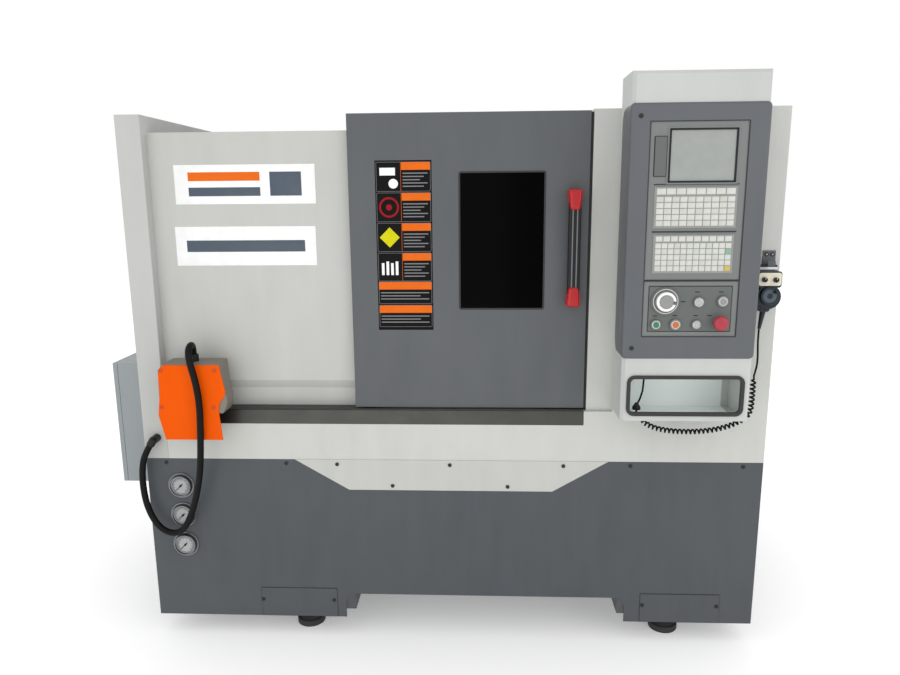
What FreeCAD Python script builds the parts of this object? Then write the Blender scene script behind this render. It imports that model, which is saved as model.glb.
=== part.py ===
import FreeCAD, Part
import math
import os

V = FreeCAD.Vector

# ---------------------------------------------------------------- driving dimensions (mm)
OVERALL_X = 2164.0
OVERALL_Y = 1344.0
FRONT = -490.0
REAR = OVERALL_Y / 2
X_MIN = -OVERALL_X / 2
RIGHT = OVERALL_X / 2
SIDE_BOX_W = 209.0
LEFT = X_MIN + SIDE_BOX_W
COLUMN_W = 75.5
COLUMN_IN = LEFT + COLUMN_W
TOP = 1684.0
BASE_TOP = 622.0
COVER_BOTTOM = 70.0
LEG_BOTTOM = 98.0
SHEET = 3.0

NOTCH_LEFT = -240.0
NOTCH_RIGHT = 671.0
NOTCH_TOP = 154.0
LEG_LEFT = -208.0
LEG_RIGHT = 648.0
SPAN_BOTTOM = 160.0

PANEL_SET_BACK = 37.0
PANEL_TOP = 1635.0
STEP_TOP = 873.0
STEP_BOTTOM = 845.0
PANEL_BOTTOM = 740.0
OPENING_LEFT = -140.0
OPENING_RIGHT = 531.0
HEADER_BOTTOM = 1590.0

DOOR = (-188.0, 523.0, 793.0, 1680.0)
DOOR_FACE = FRONT + 10.0
DOOR_THICK = 22.0
WINDOW = (139.6, 395.3, 1103.0, 1512.0)
HANDLE_X = 477.6
HANDLE_Z = (1116.0, 1458.6)
STRIP_BOTTOM = 740.0
STRIP_TOP = 788.0
FASCIA_TOP_RIGHT = 785.0

BOX = (606.0, 969.0, 802.0, 1762.0)
BOX_FACE = FRONT - 144.0
BEZEL = (602.0, 971.0, 985.5, 1680.0)
BEZEL_FACE = FRONT - 150.0
FLANGE_DEPTH = 104.0
PANEL_FACE = FRONT - 148.0
INNER = (655.0, 915.0, 1050.0, 1632.0)
INNER_SPLIT = 1208.0
POCKET = (624.0, 949.0, 820.0, 934.0)
SCREEN = (711.4, 882.9, 1476.5, 1608.8)
PORT_COVER = (669.3, 700.4, 1490.0, 1592.0)
KEYPADS = ((673.6, 894.8, 1351.0, 1461.0), (676.0, 892.7, 1228.0, 1333.0))

AXIS_Y = FRONT + 400.0
AXIS_Z = 1060.0
BED_N = -230.0
WAY_H = 30.0
SPINDLE_R = 60.0
SPINDLE_BORE = 28.0
CHUCK_R = 105.0
CHUCK_X = (-250.0, -145.0)
TURRET_U = 340.0

GAUGE_X = -764.0
GAUGE_Z = (530.0, 429.0, 326.0)
FOOT_X = (-382.0, 822.0)
CABINET = (X_MIN, LEFT, FRONT + 240.0, FRONT + 800.0, 443.0, 879.0)

CONDUIT_R = 10.0
LEAD_R = 2.75
COIL_R = 9.0


# ---------------------------------------------------------------- small helpers
def box(x0, x1, y0, y1, z0, z1):
    return Part.makeBox(x1 - x0, y1 - y0, z1 - z0, V(x0, y0, z0))


def cyl(r, p, q):
    axis = V(*q) - V(*p)
    return Part.makeCylinder(r, axis.Length, V(*p), axis)


def cone(r0, r1, p, q):
    axis = V(*q) - V(*p)
    return Part.makeCone(r0, r1, axis.Length, V(*p), axis)


def face_of(points):
    ring = [V(*p) for p in points]
    return Part.Face(Part.makePolygon(ring + ring[:1]))


def plate_xz(points, y0, y1):
    return face_of([(x, y0, z) for x, z in points]).extrude(V(0, y1 - y0, 0))


def prism_yz(points, x0, x1):
    return face_of([(x0, y, z) for y, z in points]).extrude(V(x1 - x0, 0, 0))


def slant(u, n):
    """Point of the slanted bed frame: u up the slope, n out of it, from the spindle axis."""
    c = math.cos(math.radians(45))
    return AXIS_Y + (u - n) * c, AXIS_Z + (u + n) * c


def slant_block(x0, x1, u0, u1, n0, n1):
    ring = [slant(u0, n0), slant(u1, n0), slant(u1, n1), slant(u0, n1)]
    return prism_yz(ring, x0, x1)


def fuse(shapes):
    whole = shapes[0].fuse(shapes[1:]) if len(shapes) > 1 else shapes[0]
    return whole.removeSplitter()


def round_edges(shape, radius, test):
    edges = [e for e in shape.Edges if test(e)]
    return shape.makeFillet(radius, edges) if edges else shape


def along(axis):
    def test(edge):
        if len(edge.Vertexes) != 2:
            return False
        d = edge.Vertexes[1].Point - edge.Vertexes[0].Point
        return d.Length > 1e-6 and abs(abs(d.normalize().dot(V(*axis))) - 1) < 1e-6
    return test


def ring_at(x, z, r0, r1, y0, y1):
    return cyl(r1, (x, y0, z), (x, y1, z)).cut(cyl(r0, (x, y0 - 1, z), (x, y1 + 1, z)))


# ---------------------------------------------------------------- cords
CONDUIT = [
    (-838.5, FRONT - 32, 678.0),
    (-862.0, FRONT - 32, 643.0),
    (-874.0, FRONT - 31, 588.0),
    (-875.0, FRONT - 31, 528.0),
    (-868.0, FRONT - 31, 472.0),
    (-850.0, FRONT - 31, 423.0),
    (-826.0, FRONT - 33, 393.0),
    (-794.0, FRONT - 35, 379.0),
    (-762.0, FRONT - 39, 386.0),
    (-738.0, FRONT - 44, 412.0),
    (-717.0, FRONT - 49, 454.0),
    (-699.0, FRONT - 54, 500.0),
    (-679.0, FRONT - 69, 556.0),
    (-661.0, FRONT - 87, 620.0),
    (-649.0, FRONT - 101, 688.0),
    (-642.0, FRONT - 107, 760.0),
    (-638.0, FRONT - 109, 833.0),
    (-644.0, FRONT - 111, 904.0),
    (-657.0, FRONT - 111, 960.0),
    (-661.0, FRONT - 109, 994.0),
    (-662.0, FRONT - 90, 1010.0),
    (-666.0, FRONT - 63, 1008.0),
    (-671.0, FRONT - 45, 989.0),
    (-672.0, FRONT - 43, 973.5),
]
LEAD_UPPER = [
    (1019.8, FRONT - 40.2, 1050.9),
    (1015.5, FRONT - 50, 1010.0),
    (1014.5, FRONT - 63, 974.0),
    (1009.0, FRONT - 74, 943.0),
    (1000.0, FRONT - 79, 918.0),
]
COIL = [
    (1000.0, FRONT - 80, 916.0),
    (999.0, FRONT - 84, 858.0),
    (996.0, FRONT - 84, 800.0),
    (946.0, FRONT - 84, 770.0),
    (886.0, FRONT - 82, 753.0),
    (822.0, FRONT - 80, 748.0),
    (758.0, FRONT - 80, 751.0),
    (704.0, FRONT - 82, 765.0),
    (677.5, FRONT - 84, 786.5),
]
LEAD_LOWER = [
    (675.0, FRONT - 84, 790.5),
    (663.0, FRONT - 86, 806.0),
    (664.0, FRONT - 90, 838.0),
    (680.0, FRONT - 94, 868.0),
    (681.0, FRONT - 94, 922.0),
]


def cord_path(points, name):
    """Straight runs joined by tangent arcs; prints every bend radius."""
    pts = [V(*p) for p in points]
    edges = []
    start = pts[0]
    radii = []
    for i in range(1, len(pts) - 1):
        a = (pts[i - 1] - pts[i])
        b = (pts[i + 1] - pts[i])
        run = min(a.Length, b.Length)
        a.normalize()
        b.normalize()
        turn = math.pi - a.getAngle(b)
        cut = 0.45 * run
        radii.append(round(cut / math.tan(turn / 2), 1))
        p = pts[i] + a * cut
        q = pts[i] + b * cut
        bisector = (a + b).normalize()
        centre = pts[i] + bisector * (cut / math.cos((math.pi - turn) / 2))
        mid = centre - bisector * radii_exact(cut, turn)
        edges.append(Part.LineSegment(start, p).toShape())
        edges.append(Part.Arc(p, mid, q).toShape())
        start = q
    edges.append(Part.LineSegment(start, pts[-1]).toShape())
    wire = Part.Wire(edges)
    print(name, "length", round(wire.Length, 1), "radii", radii)
    return wire


def radii_exact(cut, turn):
    return cut / math.tan(turn / 2)


def cord(points, r, name):
    wire = cord_path(points, name)
    d = V(*points[1]) - V(*points[0])
    section = Part.Wire(Part.makeCircle(r, V(*points[0]), d))
    return wire.makePipeShell([section], True, False)


# ---------------------------------------------------------------- base and bed
def bed_casting():
    y0 = FRONT + SHEET
    y1 = REAR - 40
    x0 = LEFT + SHEET
    x1 = RIGHT - SHEET
    body = box(x0, x1, y0, y1, SPAN_BOTTOM, BASE_TOP)
    left_leg = box(x0, LEG_LEFT, y0, y1, LEG_BOTTOM, SPAN_BOTTOM)
    right_leg = box(LEG_RIGHT, x1, y0, y1, LEG_BOTTOM, SPAN_BOTTOM)
    slope = [
        (FRONT + 392, BASE_TOP),
        slant(-205, BED_N),
        slant(445, BED_N),
        (slant(445, BED_N)[0] + 80, slant(445, BED_N)[1]),
        (FRONT + 1050, BASE_TOP),
    ]
    bed = prism_yz(slope, -700, 1040)
    ways = []
    for u0, u1 in ((70, 130), (360, 420), (-175, -125), (-15, 35)):
        ways.append(slant_block(-200, 1030, u0, u1, BED_N - 1, BED_N + WAY_H))
    whole = fuse([body, left_leg, right_leg, bed] + ways)
    bays = [box(x0 + 35, 205, y0 - 1, y1 - 60, 190, 568),
            box(245, x1 - 35, y0 - 1, y1 - 60, 190, 568)]
    chip_pan = box(-230, 1040, FRONT + 75, FRONT + 380, 592, BASE_TOP + 1)
    chute = box(340, 700, FRONT + 110, FRONT + 330, 560, 600)
    return whole.cut(bays + [chip_pan, chute])


def base_front_cover():
    pts = [(LEFT, COVER_BOTTOM), (NOTCH_LEFT, COVER_BOTTOM), (NOTCH_LEFT, NOTCH_TOP),
           (NOTCH_RIGHT, NOTCH_TOP), (NOTCH_RIGHT, COVER_BOTTOM), (RIGHT, COVER_BOTTOM),
           (RIGHT, BASE_TOP), (LEFT, BASE_TOP)]
    sheet = plate_xz(pts, FRONT, FRONT + SHEET)
    corners = [e for e in sheet.Edges if along((0, 1, 0))(e)
               and abs(e.Vertexes[0].Z - NOTCH_TOP) < 0.1]
    sheet = sheet.makeFillet(34, corners)
    sides = [box(LEFT, LEFT + SHEET, FRONT, FRONT + 60, COVER_BOTTOM, BASE_TOP),
             box(RIGHT - SHEET, RIGHT, FRONT, FRONT + 60, COVER_BOTTOM, BASE_TOP)]
    whole = fuse([sheet] + sides)
    whole = round_edges(whole, 2.5, lambda e: along((0, 0, 1))(e)
                        and abs(e.Vertexes[0].Y - FRONT) < 0.1
                        and min(abs(e.Vertexes[0].X - LEFT), abs(e.Vertexes[0].X - RIGHT)) < 0.1)
    holes = [cyl(32.3, (GAUGE_X, FRONT - 1, z), (GAUGE_X, FRONT + 5, z)) for z in GAUGE_Z]
    return whole.cut(holes)


def front_apron():
    pts = [(-387.5, BASE_TOP), (-215.9, 521), (430.4, 521), (602.9, BASE_TOP)]
    return plate_xz(pts, FRONT - 2, FRONT)


def leg_access_covers():
    left = box(-521.3, -269.9, FRONT - 2, FRONT, 72, 172)
    right = box(722.3, 975.5, FRONT - 2, FRONT, 72, 170)
    return Part.makeCompound([left, right])


def levelling_feet():
    feet = []
    for x in FOOT_X:
        for y in (FRONT + 90, REAR - 110):
            pad = cyl(47, (x, y, 0), (x, y, 22))
            pad = round_edges(pad, 3, lambda e: e.Length > 200)
            dome = cone(40, 24, (x, y, 22), (x, y, 38))
            stud = cyl(10, (x, y, 38), (x, y, LEG_BOTTOM))
            nut = cyl(18, (x, y, 80), (x, y, LEG_BOTTOM))
            feet.append(fuse([pad, dome, stud, nut]))
    return Part.makeCompound(feet)


# ---------------------------------------------------------------- guards
def left_end_guard():
    outer = box(LEFT, COLUMN_IN, FRONT, REAR, BASE_TOP, TOP)
    outer = round_edges(outer, 2.5, lambda e: along((0, 0, 1))(e) and e.Vertexes[0].Y < 0)
    inner = box(LEFT + 3, COLUMN_IN - 3, FRONT + 3, REAR - 3, BASE_TOP - 1, TOP - 3)
    return outer.cut(inner)


def right_end_guard():
    wall = box(RIGHT - 3, RIGHT, FRONT, REAR, BASE_TOP, TOP)
    front = box(609.5, RIGHT, FRONT, FRONT + 3, BASE_TOP, TOP)
    step = box(609.5, 612.5, FRONT, FRONT + 15, FASCIA_TOP_RIGHT, TOP)
    strip = box(OPENING_RIGHT, 612.5, FRONT + 12, FRONT + 15, FASCIA_TOP_RIGHT, TOP)
    jamb = box(OPENING_RIGHT, OPENING_RIGHT + 3, FRONT + 12, FRONT + 66, FASCIA_TOP_RIGHT, TOP)
    top_front = box(OPENING_RIGHT, RIGHT, FRONT + 12, FRONT + 40, TOP - 3, TOP)
    top_side = box(RIGHT - 40, RIGHT, FRONT, REAR, TOP - 3, TOP)
    top_link = box(609.5, RIGHT, FRONT, FRONT + 40, TOP - 3, TOP)
    whole = fuse([wall, front, step, strip, jamb, top_front, top_side, top_link])
    return round_edges(whole, 2.5, lambda e: along((0, 0, 1))(e)
                       and abs(e.Vertexes[0].X - RIGHT) < 0.1 and e.Vertexes[0].Y < FRONT + 1)


def rear_guard():
    sheet = box(COLUMN_IN, RIGHT - 3, REAR - 3, REAR, BASE_TOP, TOP)
    lip = box(COLUMN_IN, RIGHT - 40.2, REAR - 40, REAR, TOP - 3, TOP)
    foot = box(COLUMN_IN, RIGHT - 3, REAR - 60, REAR, BASE_TOP, BASE_TOP + 3)
    louvres = []
    for i in range(8):
        z = 1280 + 28 * i
        louvres.append(box(-650, -300, REAR - 5, REAR + 1, z, z + 8))
    corner = box(RIGHT - 40.1, RIGHT, REAR - 4, REAR + 1, TOP - 3, TOP + 1)
    return fuse([sheet, lip, foot]).cut(louvres + [corner])


def front_fascia():
    low = box(COLUMN_IN, 609.5, FRONT, FRONT + 3, BASE_TOP, STRIP_BOTTOM)
    high = box(523.5, 609.5, FRONT, FRONT + 3, STRIP_BOTTOM, FASCIA_TOP_RIGHT)
    ledge = box(523.5, 609.5, FRONT, FRONT + 15, FASCIA_TOP_RIGHT - 3, FASCIA_TOP_RIGHT)
    sill = box(COLUMN_IN, 523.5, FRONT, FRONT + 66, STRIP_BOTTOM - 3, STRIP_BOTTOM)
    drip = box(OPENING_LEFT, 523.5, FRONT + 63, FRONT + 66, BASE_TOP, STRIP_BOTTOM)
    end = box(523.5, 526.5, FRONT, FRONT + 66, STRIP_BOTTOM - 3, FASCIA_TOP_RIGHT)
    return fuse([low, high, ledge, sill, drip, end])


def left_front_panel():
    f = FRONT + PANEL_SET_BACK
    profile = [(f, PANEL_TOP), (f, STEP_TOP), (f + 15, STEP_BOTTOM), (f + 15, PANEL_BOTTOM),
               (f + 18, PANEL_BOTTOM), (f + 18, STEP_BOTTOM + 1), (f + 3, STEP_TOP + 1),
               (f + 3, PANEL_TOP - 3), (f + 28, PANEL_TOP - 3), (f + 28, PANEL_TOP)]
    panel = prism_yz(profile, COLUMN_IN, OPENING_LEFT)
    jamb = box(OPENING_LEFT - 3, OPENING_LEFT, f + 3, f + 28, STEP_TOP + 2, PANEL_TOP)
    header = box(OPENING_LEFT, OPENING_RIGHT, f, f + 3, HEADER_BOTTOM, PANEL_TOP)
    header_top = box(OPENING_LEFT, OPENING_RIGHT, f, f + 28, PANEL_TOP - 3, PANEL_TOP)
    partition_pts = [(f + 2, PANEL_TOP - 3), (f + 2, STEP_TOP + 1), (f + 17, STEP_BOTTOM + 1),
                     (f + 17, 741), (FRONT + 66.5, 741), (FRONT + 66.5, BASE_TOP), (FRONT + 391, BASE_TOP),
                     slant(-205.5, BED_N), slant(-205.5, -190), slant(445.5, -190),
                     slant(445.5, BED_N), (slant(445, BED_N)[0] + 81, slant(445, BED_N)[1] + 1),
                     (FRONT + 1052, BASE_TOP + 3), (REAR - 61, BASE_TOP + 3),
                     (REAR - 61, BASE_TOP + 4), (REAR - 3, BASE_TOP + 4), (REAR - 3, PANEL_TOP - 3)]
    partition = prism_yz(partition_pts, -258, -255)
    hole = cyl(SPINDLE_R + 25, (-260, AXIS_Y, AXIS_Z), (-250, AXIS_Y, AXIS_Z))
    return fuse([panel, jamb, header, header_top, partition]).cut(hole)


def door_track_cover():
    pts = [(FRONT, STRIP_BOTTOM), (FRONT + 8, STRIP_TOP - 5), (FRONT + 13, STRIP_TOP),
           (FRONT + 50, STRIP_TOP), (FRONT + 50, STRIP_TOP - 2), (FRONT + 14, STRIP_TOP - 2),
           (FRONT + 10, STRIP_TOP - 6), (FRONT + 2, STRIP_BOTTOM)]
    strip = prism_yz(pts, COLUMN_IN + 0.3, 523.2)
    web = box(COLUMN_IN + 0.3, 523.2, FRONT + 48, FRONT + 50, STRIP_BOTTOM, STRIP_TOP - 1)
    return fuse([strip, web])


# ---------------------------------------------------------------- sliding door
def door_panel():
    x0, x1, z0, z1 = DOOR
    y0 = DOOR_FACE
    pan = box(x0, x1, y0, y0 + DOOR_THICK, z0, z1)
    pan = round_edges(pan, 1.8, lambda e: e.Vertexes[0].Y < y0 + 0.1
                      and e.Vertexes[-1].Y < y0 + 0.1)
    pan = pan.cut(box(x0 + 2, x1 - 2, y0 + 2, y0 + DOOR_THICK + 1, z0 + 2, z1 - 2))
    wx0, wx1, wz0, wz1 = WINDOW
    rim = box(wx0 - 18, wx1 + 18, y0 + 1, y0 + 10, wz0 - 18, wz1 + 18)
    shell = fuse([pan, rim])
    seat = round_edges(box(wx0, wx1, y0 - 1, y0 + 8, wz0, wz1), 7, along((0, 1, 0)))
    sight = box(wx0 + 8, wx1 - 8, y0 - 1, y0 + 12, wz0 + 8, wz1 - 8)
    return shell.cut([seat, sight])


def door_window():
    wx0, wx1, wz0, wz1 = WINDOW
    glass = box(wx0 + 0.3, wx1 - 0.3, DOOR_FACE + 0.8, DOOR_FACE + 8, wz0 + 0.3, wz1 - 0.3)
    return round_edges(glass, 6.7, along((0, 1, 0)))


def door_handle():
    y0 = DOOR_FACE - 50
    x = HANDLE_X
    z0, z1 = HANDLE_Z
    bar = box(x - 17, x + 17, y0 + 3, y0 + 27, z0 + 52, z1 - 52)
    grooves = [box(x - 8, x - 5, y0 + 2, y0 + 5, z0, z1), box(x + 5, x + 8, y0 + 2, y0 + 5, z0, z1)]
    bar = bar.cut(grooves)
    caps = []
    for za, zb in ((z1 - 57, z1), (z0, z0 + 57)):
        cap = box(x - 22, x + 22, y0, DOOR_FACE, za, zb)
        cap = round_edges(cap, 7, lambda e: e.Vertexes[0].Y < y0 + 0.1
                          and e.Vertexes[-1].Y < y0 + 0.1)
        caps.append(cap)
    bar_cut = box(x - 17.2, x + 17.2, y0 + 2.8, y0 + 27.2, z0 + 51.8, z1 - 51.8)
    return Part.makeCompound([bar] + [c.cut(bar_cut) for c in caps])


# ---------------------------------------------------------------- control box
def box_body():
    x0, x1, z0, z1 = BOX
    body = box(x0, x1, BOX_FACE, FRONT, z0, z1)
    front_edges = [e for e in body.Edges if e.Vertexes[0].Y < BOX_FACE + 0.1
                   and e.Vertexes[-1].Y < BOX_FACE + 0.1
                   and max(e.Vertexes[0].Z, e.Vertexes[-1].Z) > z0 + 1]
    return body.makeChamfer(9, front_edges)


def control_box():
    x0, x1, z0, z1 = BOX
    body = box_body()
    px0, px1, pz0, pz1 = POCKET
    upper = box(x0 + 3, x1 - 3, BOX_FACE + 12, FRONT + 1, pz1 + 12, z1 - 3)
    mouth = round_edges(box(px0, px1, BOX_FACE - 1, FRONT - 6, pz0, pz1), 16, along((0, 1, 0)))
    well = box(px0 - 10, px1 + 5, BOX_FACE + 4, FRONT - 6, z0 + 5, pz1 + 4)
    wall = box(INNER[0] + 12, INNER[1] - 12, BOX_FACE - 1, BOX_FACE + 20, INNER[2] + 12, INNER[3] - 12)
    grommet = cyl(11, (666, FRONT - 85.5, z0 - 1), (666, FRONT - 85.5, z0 + 8))
    return body.cut([upper, mouth, well, wall, grommet])


def control_bezel():
    x0, x1, z0, z1 = BEZEL
    back = BOX_FACE + FLANGE_DEPTH
    cover = box(x0, x1, BEZEL_FACE, back, z0, z1)
    cover = round_edges(cover, 13, along((0, 1, 0)))
    cover = round_edges(cover, 8, lambda e: e.BoundBox.YMax < BEZEL_FACE + 0.1)
    side = box(x0 - 1, x1 + 1, BEZEL_FACE - 1, back, z0, z1)
    side = round_edges(side, 50, lambda e: along((1, 0, 0))(e) and e.Vertexes[0].Y > BOX_FACE)
    window = box(INNER[0], INNER[1], BEZEL_FACE - 1, BOX_FACE + 1, INNER[2], INNER[3])
    return cover.common(side).cut([box_body(), window])


def display_panel():
    x0, x1, z1 = INNER[0] + 0.4, INNER[1] - 0.4, INNER[3] - 0.4
    plate = box(x0, x1, PANEL_FACE, BOX_FACE, INNER_SPLIT + 0.4, z1)
    sx0, sx1, sz0, sz1 = SCREEN
    frame = box(sx0 - 9, sx1 + 9, PANEL_FACE - 1.5, PANEL_FACE, sz0 - 9, sz1 + 9)
    hole = box(sx0, sx1, PANEL_FACE - 3, BOX_FACE + 1, sz0, sz1)
    px0, px1, pz0, pz1 = PORT_COVER
    ports = box(px0 + 6, px1 - 6, PANEL_FACE - 1, BOX_FACE + 1, pz0 + 12, pz1 - 12)
    return fuse([plate, frame]).cut([hole, ports])


def display_screen():
    sx0, sx1, sz0, sz1 = SCREEN
    return box(sx0 + 0.3, sx1 - 0.3, PANEL_FACE + 0.5, BOX_FACE, sz0 + 0.3, sz1 - 0.3)


def membrane_keypads():
    pads = []
    for x0, x1, z0, z1 in KEYPADS:
        pads.append(box(x0, x1, PANEL_FACE - 1.5, PANEL_FACE, z0, z1))
    return Part.makeCompound(pads)


def port_cover():
    x0, x1, z0, z1 = PORT_COVER
    y0 = PANEL_FACE - 4
    lid = box(x0, x1, y0, PANEL_FACE - 0.4, z0, z1)
    return round_edges(lid, 1.6, along((0, 0, 1)))


BUTTONS = {
    "cycle_start_button": (692.8, 1085.0, 11.5, 14.5),
    "feed_hold_button": (746.6, 1085.0, 12.0, 15.5),
    "reset_button": (804.3, 1085.0, 10.5, 13.5),
    "power_on_button": (807.6, 1148.0, 12.0, 15.0),
    "power_off_button": (872.9, 1150.0, 12.0, 15.5),
}
OVERRIDE = (717.0, 1150.0)
STOP = (865.5, 1091.5)


def switch_plate():
    x0, x1, z0 = INNER[0] + 0.4, INNER[1] - 0.4, INNER[2] + 0.4
    plate = box(x0, x1, PANEL_FACE, BOX_FACE, z0, INNER_SPLIT - 0.4)
    raised = box(670, 899, PANEL_FACE - 1, PANEL_FACE, 1064, 1193)
    rings = [plate, raised]
    holes = []
    for x, z, r, collar in BUTTONS.values():
        rings.append(cyl(collar, (x, PANEL_FACE - 7, z), (x, PANEL_FACE, z)))
        holes.append(cyl(r + 0.3, (x, PANEL_FACE - 9, z), (x, BOX_FACE + 1, z)))
    rings.append(cyl(15, (STOP[0], PANEL_FACE - 6, STOP[1]), (STOP[0], PANEL_FACE, STOP[1])))
    holes.append(cyl(9.3, (STOP[0], PANEL_FACE - 9, STOP[1]), (STOP[0], BOX_FACE + 1, STOP[1])))
    rings.append(cyl(39.7, (OVERRIDE[0], PANEL_FACE - 5, OVERRIDE[1]),
                     (OVERRIDE[0], PANEL_FACE, OVERRIDE[1])))
    holes.append(cyl(6.3, (OVERRIDE[0], PANEL_FACE - 9, OVERRIDE[1]),
                     (OVERRIDE[0], BOX_FACE + 1, OVERRIDE[1])))
    return fuse(rings).cut(holes)


def push_button(name):
    x, z, r, collar = BUTTONS[name]
    cap = cyl(r, (x, PANEL_FACE - 11, z), (x, PANEL_FACE + 1, z))
    return round_edges(cap, 1.2, lambda e: abs(e.Vertexes[0].Y - (PANEL_FACE - 11)) < 0.1)


def emergency_stop():
    x, z = STOP
    stem = cyl(9, (x, PANEL_FACE - 20, z), (x, PANEL_FACE + 1, z))
    neck = cone(21, 16, (x, PANEL_FACE - 22, z), (x, PANEL_FACE - 12, z))
    head = cyl(21, (x, PANEL_FACE - 34, z), (x, PANEL_FACE - 22, z))
    head = round_edges(head, 6, lambda e: abs(e.Vertexes[0].Y - (PANEL_FACE - 34)) < 0.1)
    return fuse([stem, neck, head])


def override_knob():
    x, z = OVERRIDE
    skirt = cone(28.5, 26, (x, PANEL_FACE - 5.4, z), (x, PANEL_FACE - 15, z))
    head = cyl(17, (x, PANEL_FACE - 27, z), (x, PANEL_FACE - 15, z))
    head = round_edges(head, 2, lambda e: abs(e.Vertexes[0].Y - (PANEL_FACE - 27)) < 0.1)
    stem = cyl(6, (x, PANEL_FACE - 6, z), (x, BOX_FACE, z))
    return fuse([skirt, head, stem])


# ---------------------------------------------------------------- gauges and side cabinet
def pressure_gauges():
    gauges = []
    for z in GAUGE_Z:
        flange = cyl(42.5, (GAUGE_X, FRONT - 4, z), (GAUGE_X, FRONT, z))
        flange = round_edges(flange, 1.2, lambda e: e.Vertexes[0].Y < FRONT - 3.9)
        bezel = cyl(35.5, (GAUGE_X, FRONT - 15, z), (GAUGE_X, FRONT - 4, z))
        bezel = round_edges(bezel, 2.5, lambda e: e.Vertexes[0].Y < FRONT - 14.9)
        case = cyl(31.8, (GAUGE_X, FRONT, z), (GAUGE_X, FRONT + 32, z))
        dial = cyl(31, (GAUGE_X, FRONT - 16, z), (GAUGE_X, FRONT - 7, z))
        gauges.append(fuse([flange, bezel, case]).cut(dial))
    return Part.makeCompound(gauges)


def gauge_needle(z):
    hub = cyl(3.2, (GAUGE_X, FRONT - 10, z), (GAUGE_X, FRONT - 7.3, z))
    pts = [(-1.6, -9), (1.6, -9), (0.5, 24), (-0.5, 24)]
    blade = plate_xz([(GAUGE_X + a, z + b) for a, b in pts], FRONT - 9.4, FRONT - 8.6)
    needle = fuse([hub, blade])
    needle.rotate(V(GAUGE_X, 0, z), V(0, 1, 0), 225)
    return needle


def side_cabinet():
    x0, x1, y0, y1, z0, z1 = CABINET
    shell = box(x0 + 16.5, x1, y0, y1, z0, z1)
    shell = round_edges(shell, 2, lambda e: along((0, 0, 1))(e) and e.Vertexes[0].X < x0 + 17)
    hollow = box(x0 + 10, x1 - 2, y0 + 2, y1 - 2, z0 + 2, z1 - 2)
    plate = box(x1 - 22, x1 - 18, y0 + 40, y1 - 40, z0 + 40, z1 - 40)
    posts = []
    for y in (y0 + 60, y1 - 60):
        for z in (z0 + 60, z1 - 60):
            posts.append(cyl(6, (x1 - 19, y, z), (x1 - 1, y, z)))
    gear = [box(x1 - 110, x1 - 21, y0 + 70, y0 + 250, z0 + 230, z1 - 70),
            box(x1 - 95, x1 - 21, y0 + 290, y1 - 80, z0 + 230, z1 - 90),
            box(x1 - 70, x1 - 21, y0 + 70, y1 - 80, z0 + 90, z0 + 150)]
    return fuse([shell.cut(hollow), plate] + posts + gear)


def side_cabinet_door():
    x0, x1, y0, y1, z0, z1 = CABINET
    lid = box(x0, x0 + 16, y0, y1, z0, z1)
    lid = round_edges(lid, 2.5, lambda e: e.Vertexes[0].X < x0 + 0.1
                      and e.Vertexes[-1].X < x0 + 0.1)
    return lid.cut(box(x0 + 2, x0 + 17, y0 + 2, y1 - 2, z0 + 2, z1 - 2))


# ---------------------------------------------------------------- spindle, slides, tailstock
def headstock():
    block = slant_block(-640, -262, -190, 190, BED_N, 185)
    block = round_edges(block, 25, lambda e: along((1, 0, 0))(e)
                        and e.Vertexes[0].Z > slant(-190, BED_N)[1] + 60)
    nose = cyl(105, (-262.5, AXIS_Y, AXIS_Z), (-259, AXIS_Y, AXIS_Z))
    bore = cyl(SPINDLE_R + 0.05, (-650, AXIS_Y, AXIS_Z), (-250, AXIS_Y, AXIS_Z))
    return fuse([block, nose]).cut(bore)


def spindle():
    shaft = cyl(SPINDLE_R, (-770, AXIS_Y, AXIS_Z), (CHUCK_X[0], AXIS_Y, AXIS_Z))
    pulley = cyl(92, (-705, AXIS_Y, AXIS_Z), (-655, AXIS_Y, AXIS_Z))
    groove = [ring_x(84, 93, -697 + 9 * i, -692 + 9 * i) for i in range(4)]
    bore = cyl(SPINDLE_BORE, (-771, AXIS_Y, AXIS_Z), (CHUCK_X[0] + 1, AXIS_Y, AXIS_Z))
    return fuse([shaft, pulley]).cut([bore] + groove)


def ring_x(r0, r1, x0, x1):
    outer = cyl(r1, (x0, AXIS_Y, AXIS_Z), (x1, AXIS_Y, AXIS_Z))
    return outer.cut(cyl(r0, (x0 - 1, AXIS_Y, AXIS_Z), (x1 + 1, AXIS_Y, AXIS_Z)))


JAW_W = 36.0


def around_axis(shape, degrees):
    copy = shape.copy()
    copy.rotate(V(0, AXIS_Y, AXIS_Z), V(1, 0, 0), degrees)
    return copy


def chuck():
    x0, x1 = CHUCK_X
    body = cyl(CHUCK_R, (x0, AXIS_Y, AXIS_Z), (x1, AXIS_Y, AXIS_Z))
    body = round_edges(body, 4, lambda e: abs(e.Vertexes[0].X - x1) < 0.1)
    bore = cyl(SPINDLE_BORE - 2, (x0 - 1, AXIS_Y, AXIS_Z), (x1 + 1, AXIS_Y, AXIS_Z))
    slot = box(x1 - 22, x1 + 1, AXIS_Y - JAW_W / 2 - 0.1, AXIS_Y + JAW_W / 2 + 0.1,
               AXIS_Z + 20, AXIS_Z + CHUCK_R + 10)
    return body.cut([bore] + [around_axis(slot, a) for a in (0, 120, 240)])


def chuck_jaw(degrees):
    x1 = CHUCK_X[1]
    foot = box(x1 - 21.9, x1 + 14, AXIS_Y - JAW_W / 2, AXIS_Y + JAW_W / 2, AXIS_Z + 32, AXIS_Z + 98)
    step = box(x1 + 13, x1 + 38, AXIS_Y - 14, AXIS_Y + 14, AXIS_Z + 32, AXIS_Z + 66)
    return around_axis(fuse([foot, step]), degrees)


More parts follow.
